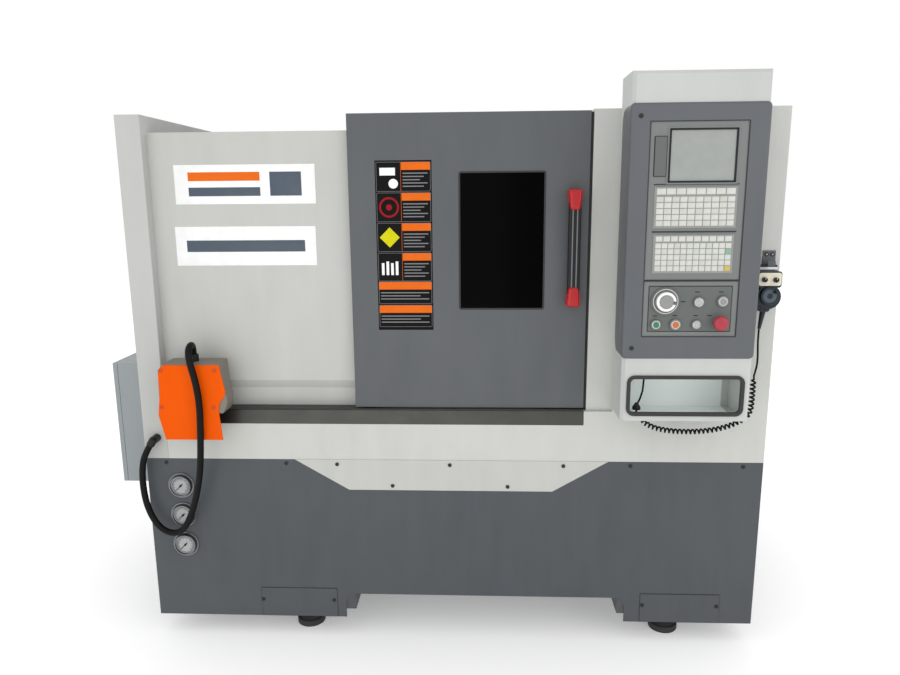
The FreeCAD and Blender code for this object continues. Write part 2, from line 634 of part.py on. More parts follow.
def spindle_motor():
    y = FRONT + 205
    frame = box(-640, -330, y - 95, y + 95, BASE_TOP + 12, BASE_TOP + 202)
    frame = round_edges(frame, 14, along((1, 0, 0)))
    foot = box(-600, -370, y - 110, y + 110, BASE_TOP, BASE_TOP + 14)
    shaft = cyl(19, (-715, y, BASE_TOP + 107), (-639, y, BASE_TOP + 107))
    pulley = cyl(52, (-705, y, BASE_TOP + 107), (-655, y, BASE_TOP + 107))
    return fuse([frame, foot, shaft, pulley])


def carriage():
    top = BED_N + WAY_H + 0.2
    saddle = slant_block(560, 800, 42, 448, top, -112)
    lips = [slant_block(560, 800, 42, 69.6, BED_N + 2, top + 1),
            slant_block(560, 800, 420.4, 448, BED_N + 2, top + 1)]
    rib = slant_block(640, 720, 42, 448, -113, -100)
    return fuse([saddle, rib] + lips)


def cross_slide():
    u0, u1 = TURRET_U - 105, TURRET_U + 105
    table = slant_block(580, 780, u0, u1, -111.8, -70)
    groove = slant_block(639.8, 720.2, u0 - 1, u1 + 1, -112, -99.8)
    block = slant_block(600, 720, TURRET_U - 78, TURRET_U + 78, -71, 40)
    y, z = slant(TURRET_U, 0)
    drum = cyl(82, (545, y, z), (735, y, z))
    return fuse([table, block, drum]).cut(groove)


def turret_disc():
    y, z = slant(TURRET_U, 0)
    ring = []
    for i in range(8):
        a = math.radians(45 * i + 22.5)
        ring.append((y + 155 * math.cos(a), z + 155 * math.sin(a)))
    disc = prism_yz(ring, 484, 544.7)
    shapes = [disc, cyl(70, (472, y, z), (485, y, z))]
    for i in range(8):
        tool = box(440, 484.5, y - 16, y + 16, z + 104, z + 142)
        shank = box(446, 474, y - 10, y + 10, z + 140, z + 172)
        holder = fuse([tool, shank])
        holder.rotate(V(0, y, z), V(1, 0, 0), 45 * i)
        shapes.append(holder)
    return fuse(shapes)


def tailstock():
    top = BED_N + WAY_H + 0.2
    base = slant_block(850, 1030, -185, 34, top, -150)
    rise = slant_block(850, 1020, -90, 34, -151, -60)
    head = slant_block(850, 1020, -66, 66, -61, 66)
    head = round_edges(head, 20, along((1, 0, 0)))
    bore = cyl(35.05, (840, AXIS_Y, AXIS_Z), (1031, AXIS_Y, AXIS_Z))
    return fuse([base, rise, head]).cut(bore)


def tailstock_quill():
    sleeve = cyl(35, (795, AXIS_Y, AXIS_Z), (1000, AXIS_Y, AXIS_Z))
    centre = cone(2, 22, (752, AXIS_Y, AXIS_Z), (795.5, AXIS_Y, AXIS_Z))
    return fuse([sleeve, centre])


# ---------------------------------------------------------------- foot switch
HOOD = [(-767, 931), (-750, 950), (-580, 950), (-565, 869), (-567, 856), (-586, 830),
        (-589, 803), (-582, 716), (-759, 716), (-776, 793), (-767, 860)]
PIN = (FRONT - 44.0, 872.0)


def foot_switch_base():
    pts = [(-768, 933), (-752, 953), (-582, 953), (-571, 869), (-562, 852), (-563, 826),
           (-577, 800), (-772, 800)]
    body = plate_xz(pts, FRONT - 86, FRONT - 2)
    hollow = box(-752, -598, FRONT - 80, FRONT - 8, 799, 935)
    back = box(-756, -632, FRONT - 8, FRONT - 2, 706, 801)
    slope = face_of([(-545, FRONT - 45, 795), (-545, FRONT + 5, 795), (-592, FRONT + 5, 795)])
    strap = box(-720, -640, FRONT - 3, FRONT - 0.5, 745, 791)
    hook = box(-720, -640, FRONT - 3, FRONT + 9, 789, 791)
    pin_holes = cyl(4.3, (-759, PIN[0], PIN[1]), (-591, PIN[0], PIN[1]))
    shell = body.cut([hollow, slope.extrude(V(0, 0, 170))])
    return fuse([shell, back, strap, hook]).cut(pin_holes)


def foot_switch_hood():
    hood = plate_xz(HOOD, FRONT - 90, FRONT - 86)
    return round_edges(hood, 1.5, lambda e: e.Vertexes[0].Y < FRONT - 89.9
                       and e.Vertexes[-1].Y < FRONT - 89.9)


def foot_treadle():
    y, z = PIN
    hub = cyl(9, (-749, y, z), (-601, y, z))
    pins = cyl(4, (-757, y, z), (-593, y, z))
    pad = box(-745, -605, y - 5, y, 724, z)
    toe = box(-745, -605, y - 12, y, 724, 736)
    return fuse([hub, pins, pad, toe])


# ---------------------------------------------------------------- hand pendant
WHEEL = (1032.0, 1153.0)


def pendant_bracket():
    plate = box(1030, 1066, FRONT - 4, FRONT, 1226, 1278)
    arm = box(1034, 1056, FRONT - 30, FRONT - 3, 1226, 1232)
    lip = box(1034, 1056, FRONT - 34, FRONT - 30, 1226, 1250)
    return fuse([plate, arm, lip])


def pendant_body():
    head = box(1000, 1066, FRONT - 62, FRONT - 18, 1176, 1223)
    head = round_edges(head, 8, along((0, 1, 0)))
    disc = cyl(35, (WHEEL[0], FRONT - 62, 1149), (WHEEL[0], FRONT - 18, 1149))
    neck = plate_xz([(1008, 1132), (1048, 1126), (1037, 1106), (1017, 1104)], FRONT - 56, FRONT - 24)
    relief = cone(8.5, 4.6, (1027.5, FRONT - 40, 1108), (1020, FRONT - 40, 1052))
    loop = box(1006, 1064, FRONT - 29.6, FRONT - 20, 1222, 1240)
    loop = round_edges(loop, 7, lambda e: along((0, 1, 0))(e) and e.Vertexes[0].Z > 1239)
    slot = box(1030, 1059, FRONT - 29.7, FRONT - 19, 1220, 1234)
    plate = box(1001, 1064, FRONT - 64, FRONT - 61, 1182, 1219)
    plate = round_edges(plate, 6, along((0, 1, 0)))
    return fuse([head, disc, neck, relief, loop, plate]).cut(slot)


def pendant_knob(x, z):
    knob = cyl(7, (x, FRONT - 74, z), (x, FRONT - 64.3, z))
    pointer = box(x - 1.2, x + 1.2, FRONT - 76, FRONT - 73, z - 6, z + 6)
    return fuse([knob, pointer])


def pendant_wheel():
    x, z = WHEEL
    disc = cyl(26, (x, FRONT - 72, z), (x, FRONT - 62.3, z))
    disc = round_edges(disc, 2.5, lambda e: abs(e.Vertexes[0].Y - (FRONT - 72)) < 0.1)
    crank = cyl(4.5, (x + 13, FRONT - 88, z + 12), (x + 13, FRONT - 71, z + 12))
    crank = round_edges(crank, 2, lambda e: abs(e.Vertexes[0].Y - (FRONT - 88)) < 0.1)
    return fuse([disc, crank])


# ---------------------------------------------------------------- glands and screws
def cable_glands():
    start = V(*CONDUIT[0])
    d = (start - V(*CONDUIT[1])).normalize()
    knee = start + d * 16
    elbow = fuse([cyl(13, (knee.x, FRONT, knee.z), (knee.x, knee.y, knee.z)),
                  Part.makeSphere(13, knee),
                  Part.makeCylinder(12.6, 16, start, d)])
    elbow = elbow.cut(Part.makeCylinder(CONDUIT_R + 0.05, 6, start - d * 0.01, d))
    end = CONDUIT[-1]
    pedal = cyl(15, (end[0], end[1], 953), (end[0], end[1], 975))
    pedal = round_edges(pedal, 2, lambda e: abs(e.Vertexes[0].Z - 975) < 0.1)
    pedal = pedal.cut(cyl(CONDUIT_R + 0.9, (end[0], end[1], 972), (end[0], end[1], 976)))
    tip = LEAD_LOWER[-1]
    pocket = cyl(8, (tip[0], tip[1], 922), (tip[0], tip[1], POCKET[3] + 3.9))
    pocket = pocket.cut(cyl(LEAD_R + 0.05, (tip[0], tip[1], 921), (tip[0], tip[1], 926)))
    return Part.makeCompound([elbow, pedal, pocket])


def screw(x, y, z, r=6.0, h=3.0):
    head = cyl(r, (x, y - h, z), (x, y, z))
    head = round_edges(head, h * 0.45, lambda e: abs(e.Vertexes[0].Y - (y - h)) < 0.01)
    socket = cyl(r * 0.42, (x, y - h - 1, z), (x, y - h * 0.45, z))
    return head.cut(socket)


def cover_screws():
    spots = [(x, FRONT, 608) for x in (-807, -416, 673, 1020)]
    spots += [(x, FRONT - 2, z) for x, z in ((-252, 607), (107, 607), (464, 607), (-76, 536), (290, 536))]
    spots += [(x, FRONT - 2, 131) for x in (-517, -280, 729, 967)]
    spots += [(x, FRONT - 90, z) for x, z in ((-758, 934), (-593, 934), (-765, 819), (-603, 819))]
    spots += [(629, BEZEL_FACE, 1646), (629, BEZEL_FACE, 1017)]
    spots += [(1040, FRONT - 4, 1267), (1056.5, FRONT - 4, 1267)]
    return Part.makeCompound([screw(*s) for s in spots])


# ---------------------------------------------------------------- all parts
def build():
    parts = {
        "bed_casting": bed_casting(),
        "base_front_cover": base_front_cover(),
        "front_apron": front_apron(),
        "leg_access_covers": leg_access_covers(),
        "levelling_feet": levelling_feet(),
        "left_end_guard": left_end_guard(),
        "right_end_guard": right_end_guard(),
        "rear_guard": rear_guard(),
        "front_fascia": front_fascia(),
        "left_front_panel": left_front_panel(),
        "door_track_cover": door_track_cover(),
        "control_box": control_box(),
        "control_bezel": control_bezel(),
        "display_panel": display_panel(),
        "display_screen": display_screen(),
        "membrane_keypads": membrane_keypads(),
        "switch_plate": switch_plate(),
        "pressure_gauges": pressure_gauges(),
        "side_cabinet": side_cabinet(),
        "headstock": headstock(),
        "spindle_motor": spindle_motor(),
        "pendant_bracket": pendant_bracket(),
        "pendant_body": pendant_body(),
        "foot_switch_base": foot_switch_base(),
        "foot_switch_hood": foot_switch_hood(),
        "cable_glands": cable_glands(),
        "foot_switch_conduit": cord(CONDUIT, CONDUIT_R, "conduit"),
        "pendant_lead_upper": cord(LEAD_UPPER, LEAD_R, "lead upper"),
        "pendant_lead_coil": cord(COIL, COIL_R, "coil"),
        "pendant_lead_lower": cord(LEAD_LOWER, LEAD_R, "lead lower"),
        "cover_screws": cover_screws(),
        "door_panel": door_panel(),
        "door_window": door_window(),
        "door_handle": door_handle(),
        "spindle": spindle(),
        "chuck": chuck(),
        "chuck_jaw_1": chuck_jaw(0),
        "chuck_jaw_2": chuck_jaw(120),
        "chuck_jaw_3": chuck_jaw(240),
        "carriage": carriage(),
        "cross_slide": cross_slide(),
        "turret_disc": turret_disc(),
        "tailstock": tailstock(),
        "tailstock_quill": tailstock_quill(),
        "port_cover": port_cover(),
        "override_knob": override_knob(),
        "emergency_stop": emergency_stop(),
        "pendant_wheel": pendant_wheel(),
        "pendant_axis_knob": pendant_knob(1015, 1200),
        "pendant_rate_knob": pendant_knob(1047, 1199),
        "foot_treadle": foot_treadle(),
        "side_cabinet_door": side_cabinet_door(),
    }
    for name in BUTTONS:
        parts[name] = push_button(name)
    for i, z in enumerate(GAUGE_Z):
        parts["gauge_needle_%d" % (i + 1)] = gauge_needle(z)
    return parts


def main():
    os.makedirs("parts", exist_ok=True)
    parts = build()
    for name, shape in parts.items():
        shape.exportStep("parts/%s.step" % name)
    print(len(parts), "parts")
    solids = [s for n, p in parts.items() if "lead" not in n and "conduit" not in n for s in p.Solids]
    total = Part.makeCompound(solids).BoundBox
    print("size", [round(v, 1) for v in (total.XMin, total.XMax, total.YMin, total.YMax,
                                         total.ZMin, total.ZMax)])
    print("volume m3", round(sum(s.Volume for s in solids) / 1e9, 4))


main()
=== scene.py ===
import logging
import math
from dataclasses import dataclass, field as made_by
from enum import Enum
from typing import Iterable, Sequence

import bmesh
import bpy
from mathutils import Matrix, Vector


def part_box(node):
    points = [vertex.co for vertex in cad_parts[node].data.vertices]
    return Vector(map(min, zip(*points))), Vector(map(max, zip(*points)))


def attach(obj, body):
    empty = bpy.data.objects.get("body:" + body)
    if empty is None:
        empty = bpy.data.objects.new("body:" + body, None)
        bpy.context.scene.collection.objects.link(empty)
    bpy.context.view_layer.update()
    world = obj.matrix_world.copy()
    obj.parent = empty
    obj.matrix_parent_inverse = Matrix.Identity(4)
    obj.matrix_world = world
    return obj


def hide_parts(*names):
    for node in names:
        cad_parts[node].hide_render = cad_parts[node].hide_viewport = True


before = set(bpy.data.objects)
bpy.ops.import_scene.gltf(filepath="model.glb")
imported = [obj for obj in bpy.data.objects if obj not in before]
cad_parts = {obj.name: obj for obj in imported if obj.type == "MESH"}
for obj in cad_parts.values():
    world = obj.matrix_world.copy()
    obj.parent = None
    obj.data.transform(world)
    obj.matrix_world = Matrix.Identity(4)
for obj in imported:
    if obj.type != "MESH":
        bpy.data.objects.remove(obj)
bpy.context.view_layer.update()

LOG = logging.getLogger("lathe")
MM = 0.001
CAD_SHARP_DEG = 28
COIL_POINTS = 60
Point = tuple[float, float, float]


class Axis(Enum):
    """Direction in which a turned or extruded piece faces."""

    X = (1.0, 0.0, 0.0)
    Y = (0.0, 1.0, 0.0)
    Z = (0.0, 0.0, 1.0)
    FRONT = (0.0, -1.0, 0.0)


# ------------------------------------------------------------------ node and colour helpers
def hex_rgb(code: str) -> tuple[float, float, float, float]:
    """Turn an sRGB hex colour into linear RGBA.

    Args:
        code: six hex digits.

    Returns:
        Linear red, green, blue and an alpha of one.
    """
    values = [int(code[i:i + 2], 16) / 255 for i in (0, 2, 4)]
    linear = [v / 12.92 if v <= 0.04045 else ((v + 0.055) / 1.055) ** 2.4 for v in values]
    return linear[0], linear[1], linear[2], 1.0


def add_node(tree: bpy.types.NodeTree, kind: str, settings: dict | None = None,
             inputs: dict | None = None) -> bpy.types.Node:
    """Add one node with its settings, and link or set its inputs.

    Args:
        tree: node tree that gets the node.
        kind: node type name.
        settings: attributes set on the node.
        inputs: socket name or index to an output socket or a value.

    Returns:
        The new node.
    """
    node = tree.nodes.new(kind)
    for key, value in (settings or {}).items():
        setattr(node, key, value)
    for key, value in (inputs or {}).items():
        if isinstance(value, bpy.types.NodeSocket):
            tree.links.new(value, node.inputs[key])
        else:
            node.inputs[key].default_value = value
    return node


def start_material(name: str) -> tuple[bpy.types.Material, bpy.types.NodeTree, bpy.types.Node,
                                       bpy.types.NodeSocket]:
    """Make a material with its shader and the object coordinates.

    Args:
        name: material name.

    Returns:
        The material, its tree, its Principled shader and the Object coordinate socket.
    """
    material = bpy.data.materials.new(name)
    material.use_nodes = True
    tree = material.node_tree
    tree.nodes.clear()
    shader = add_node(tree, "ShaderNodeBsdfPrincipled")
    output = add_node(tree, "ShaderNodeOutputMaterial")
    tree.links.new(shader.outputs["BSDF"], output.inputs["Surface"])
    where = add_node(tree, "ShaderNodeTexCoord")
    return material, tree, shader, where.outputs["Object"]


def darker(code: str, share: float) -> tuple[float, float, float, float]:
    """Linear RGBA of a hex colour, dimmed to a share of its light."""
    return tuple(share * c for c in hex_rgb(code)[:3]) + (1.0,)


def add_noise(tree: bpy.types.NodeTree, place: bpy.types.NodeSocket, size_mm: float, detail: float,
              roughness: float = 0.5) -> bpy.types.NodeSocket:
    """Add soft clouds.

    Args:
        tree: node tree that gets the node.
        place: coordinate socket.
        size_mm: size of one cloud.
        detail: octaves of finer clouds.
        roughness: strength of the finer clouds.

    Returns:
        Socket with the clouds' value.
    """
    clouds = add_node(tree, "ShaderNodeTexNoise", inputs={
        "Vector": place, "Scale": 1 / (size_mm * MM), "Detail": detail, "Roughness": roughness})
    return clouds.outputs["Fac"]


def add_math(tree: bpy.types.NodeTree, operation: str, *values: float | bpy.types.NodeSocket
             ) -> bpy.types.NodeSocket:
    """Add a Math node on sockets or numbers, and return its result."""
    return add_node(tree, "ShaderNodeMath", {"operation": operation}, dict(enumerate(values))).outputs[0]


def add_mix(tree: bpy.types.NodeTree, factor: bpy.types.NodeSocket, first: object, second: object
            ) -> bpy.types.NodeSocket:
    """Mix two colours, each a socket or RGBA, and return the colour socket."""
    return add_node(tree, "ShaderNodeMix", {"data_type": "RGBA"}, {0: factor, 6: first, 7: second}).outputs[2]


def set_bump(tree: bpy.types.NodeTree, shader: bpy.types.Node, height: bpy.types.NodeSocket,
             strength: float, distance: float) -> None:
    """Give a shader a bump from a height socket; distance is in metres."""
    bump = add_node(tree, "ShaderNodeBump", inputs={
        "Height": height, "Strength": strength, "Distance": distance})
    tree.links.new(bump.outputs["Normal"], shader.inputs["Normal"])


def set_roughness(tree: bpy.types.NodeTree, shader: bpy.types.Node, value: bpy.types.NodeSocket,
                  low: float, high: float) -> None:
    """Spread a zero-to-one socket between two roughnesses."""
    span = add_node(tree, "ShaderNodeMapRange", inputs={"Value": value, "To Min": low, "To Max": high})
    tree.links.new(span.outputs["Result"], shader.inputs["Roughness"])


def box_mask(tree: bpy.types.NodeTree, place: bpy.types.NodeSocket, low: Point, high: Point
             ) -> bpy.types.NodeSocket:
    """Mask that is one inside a box of the object's own space, and zero outside.

    Args:
        tree: node tree that gets the nodes.
        place: Object coordinate socket.
        low: lowest corner in millimetres.
        high: highest corner in millimetres.

    Returns:
        Socket with the mask.
    """
    middle = tuple((a + b) / 2 * MM for a, b in zip(low, high))
    away = add_node(tree, "ShaderNodeVectorMath", {"operation": "SUBTRACT"}, {0: place, 1: middle})
    size = add_node(tree, "ShaderNodeVectorMath", {"operation": "ABSOLUTE"}, {0: away.outputs[0]})
    apart = add_node(tree, "ShaderNodeSeparateXYZ", inputs={0: size.outputs[0]})
    x, y, z = (add_math(tree, "LESS_THAN", apart.outputs[i], (high[i] - low[i]) / 2 * MM) for i in range(3))
    return add_math(tree, "MULTIPLY", add_math(tree, "MULTIPLY", x, y), z)


# ------------------------------------------------------------------ finishes
@dataclass(frozen=True)
class PowderCoat:
    """Textured powder coat on folded steel sheet: fine orange peel, dull sheen, faint soiling."""

    name: str
    colour: str
    shade: str
    grain_mm: float = 2.2
    relief: float = 0.10
    roughness: float = 0.42
    soil: float = 0.35
    shine: float = 0.35
    patch: tuple[Point, Point] | None = None
    patch_colour: str = "ffffff"

    def build(self) -> bpy.types.Material:
        """Make the material: two close colours in slow clouds, wipe marks, peel bump, optional patch."""
        material, tree, shader, place = start_material(self.name)
        cloud = add_noise(tree, place, 420, 3.0, 0.55)
        drawn = add_node(tree, "ShaderNodeMapping", inputs={"Vector": place, "Scale": (1.0, 1.0, 0.22)})
        streak = add_noise(tree, drawn.outputs["Vector"], 55, 4.0)
        soiling = add_node(tree, "ShaderNodeMapRange", inputs={
            "Value": add_math(tree, "MULTIPLY", cloud, streak), "From Min": 0.12, "From Max": 0.42,
            "To Min": 0.0, "To Max": self.soil})
        tone = add_mix(tree, soiling.outputs["Result"], hex_rgb(self.colour), hex_rgb(self.shade))
        if self.patch:
            tone = add_mix(tree, box_mask(tree, place, *self.patch), tone, hex_rgb(self.patch_colour))
        tree.links.new(tone, shader.inputs["Base Color"])
        shader.inputs["Specular IOR Level"].default_value = self.shine
        set_bump(tree, shader, add_noise(tree, place, self.grain_mm, 2.0), self.relief, 0.0006)
        set_roughness(tree, shader, streak, self.roughness - 0.07, self.roughness + 0.09)
        return material


@dataclass(frozen=True)
class CastPaint:
    """Painted cast iron: rough sand-cast skin, with the slideways left as bright ground steel."""

    name: str
    colour: str
    metal: str = "b4b4b0"
    way_level_mm: float | None = None
    axis_mm: tuple[float, float] = (-90.0, 1060.0)
    way_box: tuple[Point, Point] = ((-202.0, -400.0, 500.0), (1032.0, 600.0, 1700.0))

    def build(self) -> bpy.types.Material:
        """Make the material, masking the ways by their height out of the slanted bed."""
        material, tree, shader, place = start_material(self.name)
        slow = add_noise(tree, place, 160, 2.0)
        paint = add_mix(tree, slow, darker(self.colour, 0.72), hex_rgb(self.colour))
        set_bump(tree, shader, add_noise(tree, place, 9, 5.0, 0.6), 0.35, 0.0012)
        if self.way_level_mm is None:
            tree.links.new(paint, shader.inputs["Base Color"])
            shader.inputs["Roughness"].default_value = 0.5
            return material
        apart = add_node(tree, "ShaderNodeSeparateXYZ", inputs={0: place})
        rise = add_math(tree, "SUBTRACT", apart.outputs["Z"], apart.outputs["Y"])
        level = (self.axis_mm[1] - self.axis_mm[0] + self.way_level_mm * math.sqrt(2)) * MM
        flush = add_math(tree, "COMPARE", rise, level, 0.0012)
        ways = add_math(tree, "MULTIPLY", flush, box_mask(tree, place, *self.way_box))
        tree.links.new(add_mix(tree, ways, paint, hex_rgb(self.metal)), shader.inputs["Base Color"])
        tree.links.new(ways, shader.inputs["Metallic"])
        set_roughness(tree, shader, ways, 0.5, 0.26)
        return material


@dataclass(frozen=True)
class BrushedSteel:
    """Ground or brushed steel: fine straight scratches along one direction, oily smears."""

    name: str
    colour: str
    stretch: Point = (0.03, 1.0, 1.0)
    line_mm: float = 1.6
    roughness: float = 0.34

    def build(self) -> bpy.types.Material:
        """Make the material: scratch noise stretched along the brushing."""
        material, tree, shader, place = start_material(self.name)
        turned = add_node(tree, "ShaderNodeMapping", inputs={"Vector": place, "Scale": self.stretch})
        lines = add_noise(tree, turned.outputs["Vector"], self.line_mm, 3.0)
        smear = add_noise(tree, place, 70, 3.0)
        tone = add_mix(tree, smear, hex_rgb(self.colour), darker(self.colour, 0.62))
        tree.links.new(tone, shader.inputs["Base Color"])
        set_roughness(tree, shader, lines, self.roughness - 0.10, self.roughness + 0.16)
        set_bump(tree, shader, lines, 0.12, 0.0004)
        shader.inputs["Metallic"].default_value = 1.0
        return material


@dataclass(frozen=True)
class Plastic:
    """Moulded plastic or rubber: even colour with slight clouding and a fine spark-eroded skin."""

    name: str
    colour: str
    roughness: float = 0.4
    grain_mm: float = 1.2
    relief: float = 0.08
    coat: float = 0.0
    metallic: float = 0.0
    shine: float = 0.5
    patch: tuple[Point, Point] | None = None
    patch_colour: str = "ffffff"

    def build(self) -> bpy.types.Material:
        """Make the material: small colour drift, fine bump, optional clear coat and second colour."""
        material, tree, shader, place = start_material(self.name)
        drift = add_noise(tree, place, 28, 2.0)
        tone = add_mix(tree, drift, hex_rgb(self.colour), darker(self.colour, 0.84))
        if self.patch:
            tone = add_mix(tree, box_mask(tree, place, *self.patch), tone, hex_rgb(self.patch_colour))
        tree.links.new(tone, shader.inputs["Base Color"])
        shader.inputs["Specular IOR Level"].default_value = self.shine
        set_bump(tree, shader, add_noise(tree, place, self.grain_mm, 2.0), self.relief, 0.0004)
        set_roughness(tree, shader, drift, max(0.03, self.roughness - 0.06), self.roughness + 0.06)
        shader.inputs["Coat Weight"].default_value = self.coat
        shader.inputs["Metallic"].default_value = self.metallic
        return material


@dataclass(frozen=True)
class ScrewHeads:
    """Screw heads: blackened steel on the sheets, painted over in dark orange on the switch cover."""

    name: str
    colour: str
    painted: str
    cover_x: float = -550.0
    cover_z: float = 800.0

    def build(self) -> bpy.types.Material:
        """Make the material: two colours split by place, with turning marks in the bump."""
        material, tree, shader, place = start_material(self.name)
        apart = add_node(tree, "ShaderNodeSeparateXYZ", inputs={0: place})
        left = add_math(tree, "LESS_THAN", apart.outputs["X"], self.cover_x * MM)
        high = add_math(tree, "GREATER_THAN", apart.outputs["Z"], self.cover_z * MM)
        cover = add_math(tree, "MULTIPLY", left, high)
        tone = add_mix(tree, cover, hex_rgb(self.colour), hex_rgb(self.painted))
        tree.links.new(tone, shader.inputs["Base Color"])
        set_bump(tree, shader, add_noise(tree, place, 0.8, 2.0), 0.15, 0.0003)
        shader.inputs["Roughness"].default_value = 0.38
        return material


class Finish(Enum):
    """Every finish on the machine, by its maker's plain name."""

    # The left column's copy of the light grey coat: its tone is set to how light falls on the column, not to
    # its paint, so it is painted shade.
    COLUMN_COAT = PowderCoat("column_grey_coat_painted_shade", "b8b9b6", "a8a9a6")
    LIGHT_COAT = PowderCoat("light_grey_powder_coat", "c1c2bd", "adaea9")
    PANEL_COAT = PowderCoat("panel_grey_powder_coat", "babbb6", "a8a9a4")
    BOX_COAT = PowderCoat("box_grey_powder_coat", "bcbfbc", "aaadaa", relief=0.07,
                          patch=((612.0, -631.0, 806.0), (935.0, -493.0, 940.0)), patch_colour="eef4f2")
    SLATE_COAT = PowderCoat("slate_powder_coat", "4a4e52", "3a3d42", grain_mm=2.6, relief=0.22)
    DOOR_COAT = PowderCoat("door_slate_powder_coat", "56595c", "494c4f", grain_mm=2.6, relief=0.22)
    BEZEL_COAT = PowderCoat("bezel_slate_powder_coat", "5b5e62", "505357", grain_mm=2.0, relief=0.16)
    CABINET_COAT = PowderCoat("cabinet_blue_grey_coat", "969c9e", "848a8d", relief=0.06)
    INSERT_COAT = PowderCoat("panel_insert_coat", "737776", "686c6a", grain_mm=1.4, relief=0.06, soil=0.2,
                             patch=((670.0, -645.0, 1064.0), (899.0, -600.0, 1193.0)), patch_colour="5e6260")
    FIELD_COAT = PowderCoat("dark_insert_coat", "5e6260", "545856", grain_mm=1.4, relief=0.06, soil=0.2)
    CASTING = CastPaint("painted_cast_iron", "4a4d50", way_level_mm=-200.0)
    SLIDE_CASTING = CastPaint("painted_slide_casting", "5d6163")
    # The stainless strip's colour is set far darker than bare steel: painted reflection of the dark door and
    # surroundings.
    STAINLESS = BrushedSteel("stainless_strip_painted_reflection", "565652", roughness=0.36)
    GROUND_STEEL = BrushedSteel("ground_steel", "b9b9b6", stretch=(1.0, 0.2, 0.2), line_mm=1.2)
    CHROME = Plastic("chrome_plate", "a9abac", roughness=0.2, relief=0.02, metallic=1.0)
    # A darker copy of the chrome for the gauge cases: painted shade.
    GAUGE_STEEL = Plastic("gauge_steel_painted_shade", "7d8081", roughness=0.24, relief=0.03, metallic=1.0)
    SATIN = Plastic("satin_nickel", "cfd0ce", roughness=0.32, relief=0.06, metallic=0.5)
    GLASS = Plastic("dark_window_glass", "000000", roughness=0.12, relief=0.0, shine=0.03)
    SCREEN = Plastic("unlit_screen", "999d9a", roughness=0.16, relief=0.0, coat=0.3)
    DIAL = Plastic("gauge_dial_silver", "a9acad", roughness=0.34, relief=0.0)
    FILM = Plastic("keypad_film_grey", "8d908d", roughness=0.35)
    KEY = Plastic("key_cap_light", "cccdc7", roughness=0.3)
    KEY_WARM = Plastic("key_cap_cream", "c6c6bd", roughness=0.3)
    KEY_GREEN = Plastic("key_cap_green", "86ab95", roughness=0.3)
    KEY_YELLOW = Plastic("key_cap_yellow", "c8b05a", roughness=0.3)
    RUBBER = Plastic("black_rubber", "08090a", roughness=0.65, grain_mm=1.0, relief=0.15, shine=0.12)
    CONDUIT = Plastic("black_conduit_sheath", "070708", roughness=0.5, relief=0.10, shine=0.16)
    BLACK = Plastic("black_moulded_plastic", "121417", roughness=0.42, shine=0.3)
    PENDANT_CASE = Plastic("dark_blue_grey_case", "1e282e", roughness=0.42, shine=0.3,
                           patch=((995.0, -560.0, 1180.0), (1070.0, -552.0, 1221.0)), patch_colour="ddd7c2")
    ANODISED = Plastic("black_anodised_aluminium", "101114", roughness=0.36, relief=0.03, shine=0.3)
    GROOVE = Plastic("grey_handle_groove", "6f7273", roughness=0.4, relief=0.05)
    ORANGE = PowderCoat("orange_cover_enamel", "e65700", "d44a00", grain_mm=3.0, relief=0.05,
                        roughness=0.4, soil=0.4, shine=0.06)
    GREY_CAST = CastPaint("grey_die_casting", "807a70")
    CREAM = Plastic("cream_moulded_plastic", "dcd6c0", roughness=0.32)
    RED = Plastic("red_gloss_plastic", "b00810", roughness=0.2, coat=0.3, shine=0.3)
    RED_DULL = Plastic("red_stop_plastic", "a92c3a", roughness=0.34)
    GREEN = Plastic("green_lens", "127a4e", roughness=0.2, coat=0.4)
    AMBER = Plastic("amber_lens", "c9641a", roughness=0.2, coat=0.4)
    CLEAR = Plastic("white_lens", "adb2b2", roughness=0.2, coat=0.4)
    SILVER = Plastic("silver_lens", "8e8f8c", roughness=0.25, coat=0.3)
    SCREW = ScrewHeads("screw_heads", "101216", "bc4600")
    PRINT_BLACK = Plastic("printed_black_film", "080809", roughness=0.5, relief=0.02, shine=0.12)
    PRINT_ORANGE = Plastic("printed_orange_film", "e56a18", roughness=0.5, relief=0.02, shine=0.1)
    PRINT_YELLOW = Plastic("printed_yellow_film", "d2cc10", roughness=0.5, relief=0.02, shine=0.1)
    PRINT_RED = Plastic("printed_red_film", "98141e", roughness=0.5, relief=0.02, shine=0.1)
    PRINT_GREY = Plastic("printed_grey_film", "77787a", roughness=0.4, relief=0.02)
    PRINT_WHITE = Plastic("printed_white_film", "f2f3f2", roughness=0.4, relief=0.02)
    PRINT_SLATE = Plastic("printed_slate_film", "43505e", roughness=0.4, relief=0.02)
    NYLON = Plastic("white_nylon", "dcdcd4", roughness=0.5)

    def material(self) -> bpy.types.Material:
        """Return this finish's material, made once."""
        found = bpy.data.materials.get(self.value.name)
        return found or self.value.build()


# ------------------------------------------------------------------ mesh helpers
def m(*values: float) -> Vector:
    """Turn millimetres into a vector in metres."""
    return Vector(values) * MM


def facing(axis: Axis) -> Matrix:
    """Rotation that takes +Z to the given direction."""
    return Vector(axis.value).to_track_quat("Z", "Y").to_matrix().to_4x4()


def add_block(bm: bmesh.types.BMesh, low: Sequence[float], high: Sequence[float],
              bevel: float = 0.0, segments: int = 2) -> list[bmesh.types.BMVert]:
    """Add a block between two corners in millimetres.

    Args:
        bm: mesh that gets the block.
        low: lowest corner.
        high: highest corner.
        bevel: rounding of every edge.
        segments: steps in the rounding.

    Returns:
        The block's vertices before rounding.
    """
    lo, hi = m(*low), m(*high)
    place = Matrix.Translation((lo + hi) / 2) @ Matrix.Diagonal((*(hi - lo), 1.0))
    made = bmesh.ops.create_cube(bm, size=1.0, matrix=place)["verts"]
    if bevel:
        edges = {e for v in made for e in v.link_edges}
        bmesh.ops.bevel(bm, geom=list(edges), offset=bevel * MM, segments=segments,
                        profile=0.5, affect="EDGES", material=-1, clamp_overlap=True)
    return made


